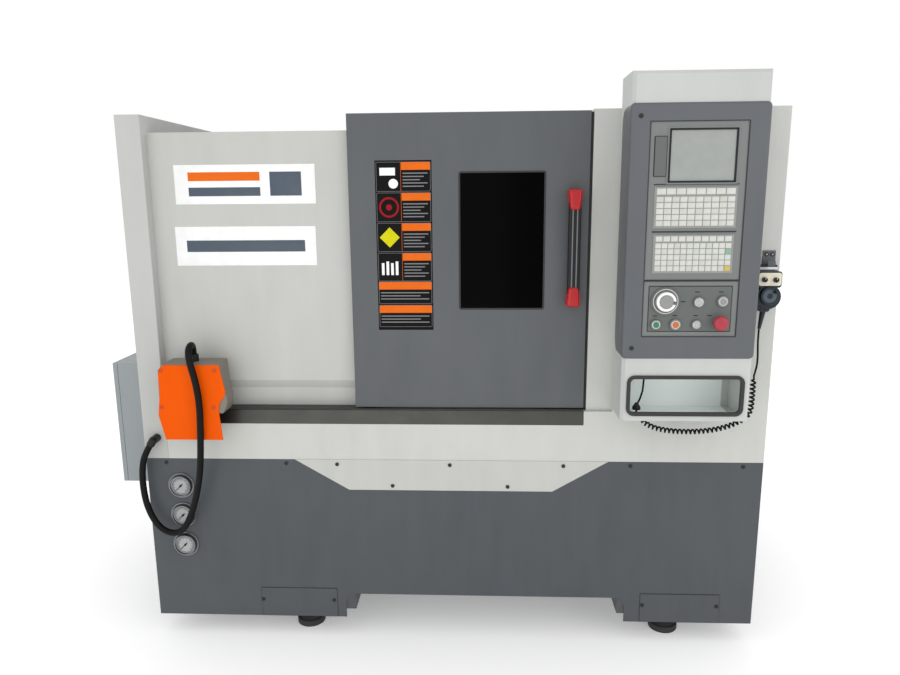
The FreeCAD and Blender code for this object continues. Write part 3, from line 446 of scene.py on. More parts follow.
def add_round(bm: bmesh.types.BMesh, centre: Sequence[float], radius: float, depth: float,
              axis: Axis = Axis.FRONT, top: float | None = None, segments: int = 40) -> None:
    """Add a closed round or tapered boss that starts at centre and grows along axis.

    Args:
        bm: mesh that gets the boss.
        centre: middle of its base, in millimetres.
        radius: base radius.
        depth: length along the axis.
        axis: growing direction.
        top: end radius, the same as the base if left out.
        segments: sides of the round.
    """
    place = Matrix.Translation(m(*centre)) @ facing(axis) @ Matrix.Translation(m(0, 0, depth / 2))
    bmesh.ops.create_cone(bm, cap_ends=True, segments=segments, radius1=radius * MM,
                          radius2=(radius if top is None else top) * MM, depth=depth * MM, matrix=place)


def add_turned(bm: bmesh.types.BMesh, centre: Sequence[float], outline: Sequence[tuple[float, float]],
               axis: Axis = Axis.FRONT, steps: int = 48) -> None:
    """Spin an outline of (radius, height) pairs round an axis.

    Args:
        bm: mesh that gets the turned shape.
        centre: origin of the outline, in millimetres.
        outline: radius and height of each corner, in millimetres.
        axis: turning axis, the direction of height.
        steps: sides of a full turn.
    """
    turn = Matrix.Translation(m(*centre)) @ facing(axis)
    verts = [bm.verts.new(turn @ m(r, 0, h)) for r, h in outline]
    edges = [bm.edges.new(pair) for pair in zip(verts, verts[1:])]
    bmesh.ops.spin(bm, geom=verts + edges, cent=turn.translation,
                   axis=turn.to_3x3() @ Vector((0, 0, 1)), angle=math.tau, steps=steps,
                   use_merge=True, use_duplicate=False)


def add_frame(bm: bmesh.types.BMesh, rect: Sequence[float], radius: float, width: float,
              y_range: tuple[float, float], segments: int = 6) -> None:
    """Add a rounded rectangular frame in the XZ plane.

    Args:
        bm: mesh that gets the frame.
        rect: outer x0, x1, z0, z1 in millimetres.
        radius: outer corner radius.
        width: width of the frame's bars.
        y_range: front and back of the frame.
        segments: steps in each corner.
    """
    x0, x1, z0, z1 = rect
    y0, y1 = y_range
    place = (Matrix.Translation(m((x0 + x1) / 2, y0, (z0 + z1) / 2))
             @ Matrix.Rotation(math.radians(90), 4, "X")
             @ Matrix.Diagonal(((x1 - x0) * MM, (z1 - z0) * MM, 1.0, 1.0)))
    before = set(bm.faces)
    corners = bmesh.ops.create_grid(bm, x_segments=1, y_segments=1, size=0.5, matrix=place)["verts"]
    if radius:
        bmesh.ops.bevel(bm, geom=corners, offset=radius * MM, segments=segments, profile=0.5,
                        affect="VERTICES", material=-1)
    face = max((f for f in bm.faces if f not in before), key=lambda f: f.calc_area())
    bm.normal_update()
    ring = bmesh.ops.inset_region(bm, faces=[face], thickness=width * MM,
                                   use_boundary=True, use_even_offset=True)["faces"]
    bmesh.ops.delete(bm, geom=[face], context="FACES_ONLY")
    grown = bmesh.ops.extrude_face_region(bm, geom=ring, use_keep_orig=True)["geom"]
    moved = [g for g in grown if isinstance(g, bmesh.types.BMVert)]
    bmesh.ops.translate(bm, verts=moved, vec=m(0, y1 - y0, 0))


def smooth(mesh: bpy.types.Mesh, degrees: float) -> None:
    """Shade a mesh smooth, with sharp edges above an angle."""
    mesh.polygons.foreach_set("use_smooth", [True] * len(mesh.polygons))
    mesh.set_sharp_from_angle(angle=math.radians(degrees))


def link_object(name: str, data: bpy.types.ID) -> bpy.types.Object:
    """Make an object of some data and put it in the scene."""
    made = bpy.data.objects.new(name, data)
    bpy.context.scene.collection.objects.link(made)
    return made


def box_mm(node: str) -> list[list[float]]:
    """Lowest and highest corner of a CAD node, in millimetres."""
    return [[c / MM for c in corner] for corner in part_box(node)]


def set_piece(bm: bmesh.types.BMesh, name: str, body: str, finish: Finish,
              smooth_deg: float = 35.0) -> bpy.types.Object:
    """Turn a bmesh into a finished piece that rides on a body.

    Args:
        bm: the finished shape, freed here.
        name: piece name.
        body: CAD body that it moves with.
        finish: its finish.
        smooth_deg: edges flatter than this are shaded smooth.

    Returns:
        The new object.
    """
    bmesh.ops.remove_doubles(bm, verts=bm.verts, dist=1e-6)
    bmesh.ops.recalc_face_normals(bm, faces=bm.faces)
    mesh = bpy.data.meshes.new(name)
    bm.to_mesh(mesh)
    bm.free()
    smooth(mesh, smooth_deg)
    piece = link_object(name, mesh)
    mesh.materials.append(finish.material())
    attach(piece, body)
    LOG.info("piece %s on %s", name, body)
    return piece


def dress(nodes: Iterable[str], finish: Finish) -> None:
    """Give CAD nodes a finish in place of their plain colour."""
    for name in nodes:
        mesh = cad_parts[name].data
        mesh.materials.clear()
        mesh.materials.append(finish.material())
        smooth(mesh, CAD_SHARP_DEG)


def turned_piece(name: str, body: str, finish: Finish, centre: Sequence[float],
                 outline: Sequence[tuple[float, float]], axis: Axis = Axis.FRONT, steps: int = 48,
                 smooth_deg: float = 35.0) -> bpy.types.Object:
    """Make a finished piece from one turned outline.

    Args:
        name: piece name.
        body: CAD body that it moves with.
        finish: its finish.
        centre: origin of the outline, in millimetres.
        outline: radius and height of each corner, in millimetres.
        axis: turning axis.
        steps: sides of a full turn.
        smooth_deg: edges flatter than this are shaded smooth.

    Returns:
        The new object.
    """
    bm = bmesh.new()
    add_turned(bm, centre, outline, axis, steps)
    return set_piece(bm, name, body, finish, smooth_deg)


FRONT = box_mm("base_front_cover")[0][1]


# ------------------------------------------------------------------ sub-assemblies
@dataclass
class Enclosure:
    """Folded guards, base, stainless strip, side cabinet and the flat plates on them."""

    plate_top: tuple[float, float, float, float] = (-722.0, -292.0, 1423.0, 1540.0)
    plate_low: tuple[float, float, float, float] = (-732.0, -297.0, 1237.0, 1356.0)
    panel_back: float = 37.0
    seal_x: tuple[float, float] = (524.0, 530.8)

    def dress_nodes(self) -> None:
        """Put the finishes on the CAD sheets and castings; the left column's coat holds painted shade and the
        strip's steel a painted reflection.
        """
        dress(["left_end_guard"], Finish.COLUMN_COAT)
        dress(["right_end_guard", "front_fascia"], Finish.LIGHT_COAT)
        dress(["front_apron"], Finish.PANEL_COAT)
        dress(["left_front_panel", "rear_guard"], Finish.PANEL_COAT)
        dress(["base_front_cover", "leg_access_covers"], Finish.SLATE_COAT)
        dress(["bed_casting"], Finish.CASTING)
        dress(["door_track_cover"], Finish.STAINLESS)
        dress(["side_cabinet", "side_cabinet_door"], Finish.CABINET_COAT)
        dress(["levelling_feet"], Finish.RUBBER)
        dress(["cover_screws"], Finish.SCREW)

    def plates(self) -> None:
        """Two white plates on the left panel, with plain bars only."""
        face = FRONT + self.panel_back
        for name, rect in (("upper_plate", self.plate_top), ("lower_plate", self.plate_low)):
            bm = bmesh.new()
            add_block(bm, (rect[0], face - 1.0, rect[2]), (rect[1], face, rect[3]), 0.3)
            set_piece(bm, name, "machine", Finish.PRINT_WHITE)
        x0, x1, z0, z1 = self.plate_top
        bm = bmesh.new()
        add_block(bm, (x0 + 42, face - 1.3, z1 - 48), (x0 + 262, face - 0.9, z1 - 22), 0.1)
        set_piece(bm, "upper_plate_bar", "machine", Finish.PRINT_ORANGE)
        bm = bmesh.new()
        add_block(bm, (x0 + 42, face - 1.3, z0 + 24), (x0 + 262, face - 0.9, z0 + 50), 0.1)
        add_block(bm, (x0 + 292, face - 1.3, z0 + 24), (x1 - 42, face - 0.9, z1 - 22), 0.1)
        set_piece(bm, "upper_plate_blocks", "machine", Finish.PRINT_SLATE)
        x0, x1, z0, z1 = self.plate_low
        bm = bmesh.new()
        add_block(bm, (x0 + 34, face - 1.3, z0 + 42), (x1 - 34, face - 0.9, z1 - 42), 0.1)
        set_piece(bm, "lower_plate_bar", "machine", Finish.PRINT_SLATE)

    def seals(self) -> None:
        """Black rubber seal that the door closes against."""
        low, high = box_mm("door_panel")
        bm = bmesh.new()
        add_block(bm, (self.seal_x[0], FRONT + 18, low[2] - 6),
                  (self.seal_x[1], FRONT + 34, high[2] - 3), 2.0)
        set_piece(bm, "door_seal", "machine", Finish.RUBBER)

    def track_gap_painted_shade(self) -> None:
        """Black strip in the gap between the stainless strip and the panels above it: painted shade that
        deepens the shadow of the gap.
        """
        low, high = box_mm("door_track_cover")
        bm = bmesh.new()
        add_block(bm, (low[0] + 2, low[1] + 1.5, high[2] - 0.6),
                  (high[0] - 2, low[1] + 6.5, high[2] + 2.4), 0.8)
        set_piece(bm, "track_gap_painted_shade", "machine", Finish.RUBBER)

    def access_outlines(self) -> None:
        """Thin dark sealing lines round the two leg access covers."""
        bm = bmesh.new()
        for low, high in self.solid_boxes("leg_access_covers"):
            add_frame(bm, (low[0] - 1.6, high[0] + 1.6, low[2] - 1.6, high[2] + 1.6), 2.0, 2.6,
                      (high[1] - 0.9, high[1] + 0.1), 2)
        set_piece(bm, "access_cover_seals", "machine", Finish.RUBBER)

    def solid_boxes(self, node: str) -> list[tuple[list[float], list[float]]]:
        """Boxes of a CAD node's left and right solids, in millimetres."""
        points = [v.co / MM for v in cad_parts[node].data.vertices]
        middle = sum(p.x for p in points) / len(points)
        boxes = []
        for side in (-1, 1):
            group = [p for p in points if (p.x - middle) * side > 0]
            boxes.append(([min(p[i] for p in group) for i in range(3)],
                          [max(p[i] for p in group) for i in range(3)]))
        return boxes

    def cabinet_fittings(self) -> None:
        """Quarter-turn locks of the side cabinet."""
        low, high = box_mm("side_cabinet_door")
        bm = bmesh.new()
        for z in (low[2] + 90, high[2] - 90):
            add_turned(bm, (low[0] + 0.4, low[1] + 34, z), [(0, 0), (0, -0.3), (11, -0.3), (11, 0.0)],
                       Axis.X, 24)
        set_piece(bm, "cabinet_locks", "cabinet_door", Finish.CHROME)


@dataclass
class Door:
    """Sliding door with window, handle, printed strip and guide shoes."""

    handle_x: float = 477.6
    handle_z: tuple[float, float] = (1116.0, 1458.6)
    strip: tuple[float, float, float, float] = (-107.6, 60.2, 1040.0, 1546.0)
    cell: float = 88.7
    wide_tops: tuple[float, float] = (1187.3, 1115.6)
    shoe_x: tuple[float, float] = (-110.0, 420.0)

    def dress_nodes(self) -> None:
        """Finishes of the panel and the glass."""
        dress(["door_panel"], Finish.DOOR_COAT)
        dress(["door_window"], Finish.GLASS)

    def handle(self) -> None:
        """Black bar with two pale grooves between glossy red end caps that narrow towards it."""
        face = FRONT + 10
        z0, z1 = self.handle_z
        x = self.handle_x
        bm = bmesh.new()
        add_block(bm, (x - 18, face - 44, z0 + 36), (x + 18, face - 24, z1 - 36), 4.0, 4)
        bar = set_piece(bm, "door_handle_bar", "door", Finish.ANODISED)
        bm = bmesh.new()
        for side in (-6.5, 6.5):
            add_block(bm, (x + side - 1.7, face - 44.5, z0 + 38), (x + side + 1.7, face - 43.6, z1 - 38), 0.3)
        grooves = set_piece(bm, "door_handle_grooves", "door", Finish.GROOVE)
        bm = bmesh.new()
        for low, high, wide in ((z1 - 60, z1, z1), (z0, z0 + 60, z0)):
            before = set(bm.verts)
            add_block(bm, (x - 21.5, face - 50, low), (x + 21.5, face, high), 9.5, 6)
            for vert in (v for v in bm.verts if v not in before):
                far = abs(vert.co.z / MM - wide) / 60
                vert.co.x = x * MM + (vert.co.x - x * MM) * (1 - 0.34 * far * far)
        caps = set_piece(bm, "door_handle_caps", "door", Finish.RED, 60)
        for piece in (bar, grooves, caps):
            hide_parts("door_handle")

    def window_gasket(self) -> None:
        """Thin black gasket round the glass."""
        low, high = box_mm("door_window")
        bm = bmesh.new()
        add_frame(bm, (low[0] - 1, high[0] + 1, low[2] - 1, high[2] + 1), 7.5, 5.0,
                  (FRONT + 9.2, FRONT + 11.4))
        set_piece(bm, "window_gasket", "door", Finish.RUBBER)

    def printed_strip(self) -> None:
        """Black strip of generic notice fields: orange heads, plain grey lines and simple shapes."""
        x0, x1, z0, z1 = self.strip
        face = FRONT + 10
        split = x0 + 76
        back, heads, lines = bmesh.new(), bmesh.new(), bmesh.new()
        add_block(back, (x0, face - 0.6, z0), (x1, face + 0.2, z1), 0.4)
        for i in range(4):
            top = z1 - 4.7 - i * self.cell
            rect = (x0 + 3.5, x1 - 3.5, top - 85, top)
            add_frame(lines, rect, 3.0, 0.9, (face - 0.95, face - 0.5), 3)
            add_block(heads, (split + 2, face - 0.9, top - 23), (x1 - 4.5, face - 0.5, top - 1.2), 0.1)
            add_block(heads, (split, face - 0.9, top - 84), (split + 0.9, face - 0.5, top - 1), 0.1)
            for row in range(5):
                z = top - 31 - row * 9.4
                add_block(lines, (split + 6, face - 0.9, z - 3.2),
                          (x1 - 12 - (row % 3) * 11, face - 0.5, z), 0.1)
        for top in self.wide_tops:
            add_frame(lines, (x0 + 3.5, x1 - 3.5, top - 66, top + 1.5), 3.0, 0.9,
                      (face - 0.95, face - 0.5), 3)
            add_block(heads, (x0 + 4.5, face - 0.9, top - 22.7), (x1 - 4.5, face - 0.5, top), 0.1)
            for row in range(3):
                z = top - 31 - row * 9.4
                add_block(lines, (x0 + 9, face - 0.9, z - 3.2),
                          (x1 - 12 - (row % 2) * 26, face - 0.5, z), 0.1)
        set_piece(back, "notice_strip", "door", Finish.PRINT_BLACK)
        set_piece(heads, "notice_heads", "door", Finish.PRINT_ORANGE)
        set_piece(lines, "notice_lines", "door", Finish.PRINT_GREY)
        self.notice_shapes()

    def notice_shapes(self) -> None:
        """Simple colour shapes in the left halves: a block, discs, a ring, a lozenge and bars."""
        x0, _, _, z1 = self.strip
        face = FRONT + 9.4
        x = x0 + 40
        centre = [z1 - 4.7 - 42.5 - i * self.cell for i in range(4)]
        white, red, yellow = bmesh.new(), bmesh.new(), bmesh.new()
        add_block(white, (x - 26, face - 0.4, centre[0] + 4), (x + 20, face, centre[0] + 26), 0.1)
        add_round(white, (x + 14, face, centre[0] - 20), 14, 0.4, segments=32)
        add_turned(red, (x, face, centre[1]), [(30, 0), (30, 0.4), (24, 0.4), (24, 0), (30, 0)])
        add_round(red, (x, face, centre[1]), 9, 0.4, segments=32)
        add_round(yellow, (x, face, centre[2]), 30, 0.4, segments=4)
        for i in range(4):
            add_block(white, (x - 26 + i * 14, face - 0.4, centre[3] - 24),
                      (x - 18 + i * 14, face, centre[3] + 12 + 5 * (i % 2)), 0.1)
        set_piece(white, "notice_white_shapes", "door", Finish.PRINT_WHITE)
        set_piece(red, "notice_red_ring", "door", Finish.PRINT_RED)
        set_piece(yellow, "notice_yellow_lozenge", "door", Finish.PRINT_YELLOW)

    def shoes(self) -> None:
        """Nylon guide shoes that carry the door on the header."""
        bm = bmesh.new()
        for x in self.shoe_x:
            add_block(bm, (x, FRONT + 12.3, 1636), (x + 60, FRONT + 62, 1650), 2.0)
        set_piece(bm, "door_guide_shoes", "door", Finish.NYLON)


@dataclass
class ControlBox:
    """Raised control box: bezel, screen, keypads, switches and the pocket."""

    bezel_face: float = -640.0
    panel_face: float = -638.0
    inner: tuple[float, float, float, float] = (655.0, 915.0, 1050.0, 1632.0)
    split: float = 1208.0
    screen: tuple[float, float, float, float] = (711.4, 882.9, 1476.5, 1608.8)
    pocket: tuple[float, float, float, float] = (624.0, 949.0, 820.0, 934.0)
    pads: tuple[tuple[float, float, float, float], ...] = (
        (673.6, 894.8, 1351.0, 1461.0), (676.0, 892.7, 1228.0, 1333.0))
    joint_lines: tuple[tuple[float, float], ...] = ((1466.0, 1469.0), (1339.0, 1343.0))
    marks: tuple[tuple[float, float], ...] = (
        (766, 1149), (803, 1176), (868, 1176), (690, 1109), (745, 1110), (802, 1110), (840, 1110))
    selector: tuple[float, float] = (717.0, 1150.0)
    stop: tuple[float, float] = (865.5, 1091.5)
    lens_share: float = 0.72
    field: tuple[tuple[float, float], tuple[float, float]] = ((670.0, 1064.0), (899.0, 1193.0))
    lamps: dict[str, tuple[float, float, float, float, Finish]] = made_by(default_factory=lambda: {
        "cycle_start": (692.8, 1085.0, 11.5, 14.5, Finish.GREEN),
        "feed_hold": (746.6, 1085.0, 12.0, 15.5, Finish.AMBER),
        "reset": (804.3, 1085.0, 10.5, 13.5, Finish.CLEAR),
        "power_on": (807.6, 1148.0, 12.0, 15.0, Finish.CLEAR),
        "power_off": (872.9, 1150.0, 12.0, 15.5, Finish.SILVER)})

    def dress_nodes(self) -> None:
        """Finishes of the box, bezel and inner panels."""
        dress(["control_box"], Finish.BOX_COAT)
        dress(["control_bezel"], Finish.BEZEL_COAT)
        dress(["display_panel", "switch_plate"], Finish.INSERT_COAT)
        dress(["port_cover"], Finish.FIELD_COAT)
        dress(["display_screen"], Finish.SCREEN)
        dress(["membrane_keypads"], Finish.FILM)

    def gaskets(self) -> None:
        """Black lines of the panel joints, the screen's frame and the pocket's edging."""
        x0, x1, z0, z1 = self.inner
        bm = bmesh.new()
        add_frame(bm, (x0 - 1, x1 + 1, self.split - 0.5, z1 + 1), 1.5, 2.4,
                  (self.bezel_face - 0.5, self.panel_face + 0.5), 2)
        add_frame(bm, (x0 - 1, x1 + 1, z0 - 1, self.split - 0.5), 1.5, 2.4,
                  (self.bezel_face - 0.5, self.panel_face + 0.5), 2)
        set_piece(bm, "panel_gaskets", "machine", Finish.RUBBER)
        sx0, sx1, sz0, sz1 = self.screen
        bm = bmesh.new()
        add_frame(bm, (sx0 - 4.6, sx1 + 4.6, sz0 - 4.6, sz1 + 4.6), 2.0, 4.8,
                  (self.panel_face - 2.4, self.panel_face + 0.2))
        set_piece(bm, "screen_frame", "machine", Finish.BLACK)
        low, high = box_mm("port_cover")
        bm = bmesh.new()
        add_frame(bm, (low[0] - 2, high[0] + 2, low[2] - 2, high[2] + 2), 2.0, 2.6,
                  (self.panel_face - 1.0, self.panel_face + 0.2), 2)
        x0, x1 = self.pads[0][:2]
        for low_z, high_z in self.joint_lines:
            add_block(bm, (x0 - 3, self.panel_face - 0.9, low_z),
                      (x1 + 3, self.panel_face + 0.2, high_z), 0.4)
        set_piece(bm, "panel_joint_lines", "machine", Finish.RUBBER)
        px0, px1, pz0, pz1 = self.pocket
        bm = bmesh.new()
        add_frame(bm, (px0 - 2.5, px1 + 2.5, pz0 - 2.5, pz1 + 2.5), 22.0, 10.0,
                  (FRONT - 149.0, FRONT - 138.0), 8)
        set_piece(bm, "pocket_edging", "machine", Finish.RUBBER, 50)
        turned_piece("pocket_lead_gland", "machine", Finish.BLACK,
                     (663.6, FRONT - 88.0, 820.0),
                     [(0, 0), (12, 0), (12, 7), (9, 12), (4.2, 20), (0, 20)], Axis.Z)

    def key_cap(self, bm: bmesh.types.BMesh, corner: tuple[float, float], size: tuple[float, float],
                gap: tuple[float, float]) -> None:
        """Add one key cap in a cell of a keypad.

        Args:
            bm: mesh that gets the cap.
            corner: lowest x and z of the cell.
            size: width and height of the cell.
            gap: space kept free at the cell's sides and at its ends.
        """
        face = self.panel_face - 1.5
        add_block(bm, (corner[0] + gap[0], face - 1.0, corner[1] + gap[1]),
                  (corner[0] + size[0] - gap[0], face, corner[1] + size[1] - gap[1]), 0.5)

    def keypads(self) -> None:
        """Rows of raised key caps on both keypads: a top row, then a grid of five rows."""
        caps, warm, green, yellow = bmesh.new(), bmesh.new(), bmesh.new(), bmesh.new()
        layouts = ((8, 1.2, 20, 10, (1.1, 1.0), 30), (10, 1.4, 18, 12, (1.0, 0.9), 27))
        for pad, (x0, x1, z0, z1) in enumerate(self.pads):
            tops, top_gap, top_low, columns, gap, head = layouts[pad]
            w = (x1 - x0 - 10) / tops
            for i in range(tops):
                self.key_cap(caps, (x0 + 5 + i * w, z1 - top_low), (w, top_low - 4), (top_gap, 0.0))
            w, h = (x1 - x0 - 10) / columns, (z1 - z0 - head) / 5
            for row in range(5):
                for col in range(columns):
                    pale = (row + 2 * col) % 4 == 0 if pad == 0 else (3 * row + col) % 5 == 0
                    bm = warm if pale else caps
                    if pad == 1 and col == 11:
                        bm = {3: green, 0: yellow}.get(row, bm)
                    self.key_cap(bm, (x0 + 5 + col * w, z0 + 5 + row * h), (w, h), gap)
        set_piece(caps, "key_caps", "machine", Finish.KEY)
        set_piece(warm, "key_caps_cream", "machine", Finish.KEY_WARM)
        set_piece(green, "key_cap_green", "machine", Finish.KEY_GREEN)
        set_piece(yellow, "key_cap_yellow", "machine", Finish.KEY_YELLOW)

    def buttons(self) -> None:
        """Collars, lenses in their rims, the stop button's head and the selector's collar."""
        bm = bmesh.new()
        for x, z, radius, collar, _ in self.lamps.values():
            add_turned(bm, (x, self.panel_face, z),
                       [(radius + 0.5, 0), (collar, 0), (collar, 5), (collar - 1.2, 7.2), (radius + 1.0, 7.2),
                        (radius + 0.5, 6.4), (radius + 0.5, 0)])
        x, z = self.stop
        add_turned(bm, (x, self.panel_face, z),
                   [(9.8, 0), (15.3, 0), (15.3, 4.8), (14.2, 6.2), (10.2, 6.2), (9.8, 5.6), (9.8, 0)])
        set_piece(bm, "switch_collars", "machine", Finish.CHROME)
        x, z = self.selector
        turned_piece("selector_collar", "machine", Finish.SATIN, (x, self.panel_face, z),
                     [(30.0, 0), (39.7, 0), (39.7, 2.6), (38.2, 4.6), (33.0, 5.2), (30.6, 4.2), (30.0, 0)],
                     steps=72)
        for name, (x, z, radius, _, finish) in self.lamps.items():
            core = radius * self.lens_share
            lens = turned_piece(
                name + "_lens", name, finish, (x, self.panel_face, z),
                [(0, -0.8), (core, -0.8), (core, 9.8), (core - 1.0, 10.7), (core * 0.5, 11.1), (0, 11.2)])
            rim = turned_piece(
                name + "_rim", name, Finish.SATIN, (x, self.panel_face, z),
                [(core, -0.8), (radius, -0.8), (radius, 8.8), (radius - 1.0, 10.0), (core + 0.6, 10.4),
                 (core, 9.4), (core, -0.8)])
            for piece in (lens, rim):
                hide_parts(name + "_button")
        x, z = self.stop
        stop = turned_piece(
            "emergency_stop_head", "emergency_stop", Finish.RED_DULL, (x, self.panel_face, z),
            [(0, -0.8), (8.8, -0.8), (8.8, 12), (16, 12), (20.6, 21.5), (21, 25), (19.5, 29.5),
             (15.5, 32.8), (9, 34), (0, 34)], smooth_deg=50)
        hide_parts("emergency_stop")

    def selector_knob(self) -> None:
        """Override selector: satin skirt, white ring, grey crown and a dark mark."""
        x, z = self.selector
        face = self.panel_face
        skirt, ring, crown = (
            turned_piece("selector_" + part, "override_knob", finish, (x, face, z), outline, steps=64)
            for part, finish, slot, outline in (
                ("skirt", Finish.SATIN, "silver_plastic",
                 [(0, 5.6), (28.2, 5.6), (28.4, 8), (26.8, 14.5), (0, 14.5)]),
                ("ring", Finish.PRINT_WHITE, "clear_plastic",
                 [(19.2, 14.2), (27.0, 14.2), (26.4, 15.8), (19.8, 16.0), (19.2, 14.2)]),
                ("crown", Finish.SILVER, "silver_plastic",
                 [(0, 14.0), (18.8, 14.0), (18.4, 17.5), (16.9, 18.9), (0, 19.2)])))
        bm = bmesh.new()
        made = add_block(bm, (19.0, -16.6, -4.6), (27.6, -13.6, 4.6))
        turn = Matrix.Translation(m(x, face, z)) @ Matrix.Rotation(math.radians(8), 4, "Y")
        bmesh.ops.transform(bm, matrix=turn, verts=made)
        mark = set_piece(bm, "selector_mark", "override_knob", Finish.FIELD_COAT)
        for piece in (skirt, ring, crown, mark):
            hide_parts("override_knob")

    def print_marks(self) -> None:
        """Small dark dashes beside the switches, and the dark outline of their field."""
        bm = bmesh.new()
        for x, z in self.marks:
            add_block(bm, (x - 6, self.panel_face - 1.3, z - 1.1),
                      (x + 6, self.panel_face - 0.8, z + 1.1), 0.1)
        set_piece(bm, "switch_marks", "machine", Finish.PRINT_BLACK)
        low, high = self.field
        bm = bmesh.new()
        add_frame(bm, (low[0], high[0], low[1], high[1]), 2.0, 2.2,
                  (self.panel_face - 1.0, self.panel_face + 0.1), 2)
        set_piece(bm, "switch_field_outline", "machine", Finish.RUBBER)


@dataclass
class Gauges:
    """Three pressure gauges low on the left of the base."""

    x: float = -764.0
    heights: tuple[float, float, float] = (530.0, 429.0, 326.0)

    def dress_nodes(self) -> None:
        """Polished steel cases, darkened as painted shade, and black needles."""
        dress(["pressure_gauges"], Finish.GAUGE_STEEL)
        dress(["gauge_needle_1", "gauge_needle_2", "gauge_needle_3"], Finish.PRINT_BLACK)

    def dials(self) -> None:
        """Silver dials with a scale, and the dark gap between bezel and flange."""
        dial, ticks, gap = bmesh.new(), bmesh.new(), bmesh.new()
        for z in self.heights:
            add_round(dial, (self.x, FRONT - 7.05, z), 30.8, 0.25, segments=48)
            for i in range(28):
                angle = math.radians(-135 + 10 * i)
                long = 6.0 if i % 3 == 0 else 3.4
                made = add_block(ticks, (-0.6, -0.25, 25.5 - long), (0.6, 0.0, 25.5))
                turn = Matrix.Translation(m(self.x, FRONT - 7.35, z)) @ Matrix.Rotation(angle, 4, "Y")
                bmesh.ops.transform(ticks, matrix=turn, verts=made)
            add_turned(ticks, (self.x, FRONT - 7.3, z),
                       [(26.6, 0), (27.5, 0), (27.5, 0.3), (26.6, 0.3), (26.6, 0)])
            add_turned(gap, (self.x, FRONT - 3.9, z),
                       [(34.0, 0), (38.0, 0), (37.6, 0.9), (34.0, 0.9), (34.0, 0)])
        set_piece(dial, "gauge_dials", "machine", Finish.DIAL)
        set_piece(ticks, "gauge_ticks", "machine", Finish.PRINT_BLACK)
        set_piece(gap, "gauge_gap_rings", "machine", Finish.RUBBER)


@dataclass
class WorkZone:
    """Headstock, chuck, slides, turret and tailstock behind the door."""

    def dress_nodes(self) -> None:
        """Painted castings and ground steel."""
        dress(["headstock", "carriage", "cross_slide", "tailstock"], Finish.SLIDE_CASTING)
        dress(["spindle", "chuck", "chuck_jaw_1", "chuck_jaw_2", "chuck_jaw_3", "turret_disc",
               "tailstock_quill"], Finish.GROUND_STEEL)
        dress(["spindle_motor"], Finish.BLACK)


@dataclass
class FootSwitch:
    """Foot switch that hangs on the ledge, with its black conduit."""

    route: tuple[Point, ...] = (
        (-838.5, FRONT - 32, 678.0), (-862.0, FRONT - 32, 643.0), (-874.0, FRONT - 31, 588.0),
        (-875.0, FRONT - 31, 528.0), (-868.0, FRONT - 31, 472.0), (-850.0, FRONT - 31, 423.0),
        (-826.0, FRONT - 33, 393.0), (-794.0, FRONT - 35, 379.0), (-762.0, FRONT - 39, 386.0),
        (-738.0, FRONT - 44, 412.0), (-717.0, FRONT - 49, 454.0), (-699.0, FRONT - 54, 500.0),
        (-679.0, FRONT - 69, 556.0), (-661.0, FRONT - 87, 620.0), (-649.0, FRONT - 101, 688.0),
        (-642.0, FRONT - 107, 760.0), (-638.0, FRONT - 109, 833.0), (-644.0, FRONT - 111, 904.0),
        (-657.0, FRONT - 111, 960.0), (-661.0, FRONT - 109, 994.0), (-662.0, FRONT - 90, 1010.0),
        (-666.0, FRONT - 63, 1008.0), (-671.0, FRONT - 45, 989.0), (-672.0, FRONT - 43, 973.5))
    conduit_radius: float = 10.0
    conduit_length: float = 1.10

    def dress_nodes(self) -> None:
        """Orange hood, grey casting and black glands."""
        dress(["foot_switch_hood"], Finish.ORANGE)
        dress(["foot_switch_base", "foot_treadle"], Finish.GREY_CAST)
        dress(["cable_glands"], Finish.BLACK)

    def conduit(self) -> None:
        """The conduit from the gland on the column to the top of the switch."""
        piece = cord_curve("foot_switch_conduit_sheath", self.route, self.conduit_radius)
        piece.data.materials.append(Finish.CONDUIT.material())
        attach(piece, "machine")
        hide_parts("foot_switch_conduit")
        LOG.info("conduit length %.4f", line_length(line_points(self.route)))


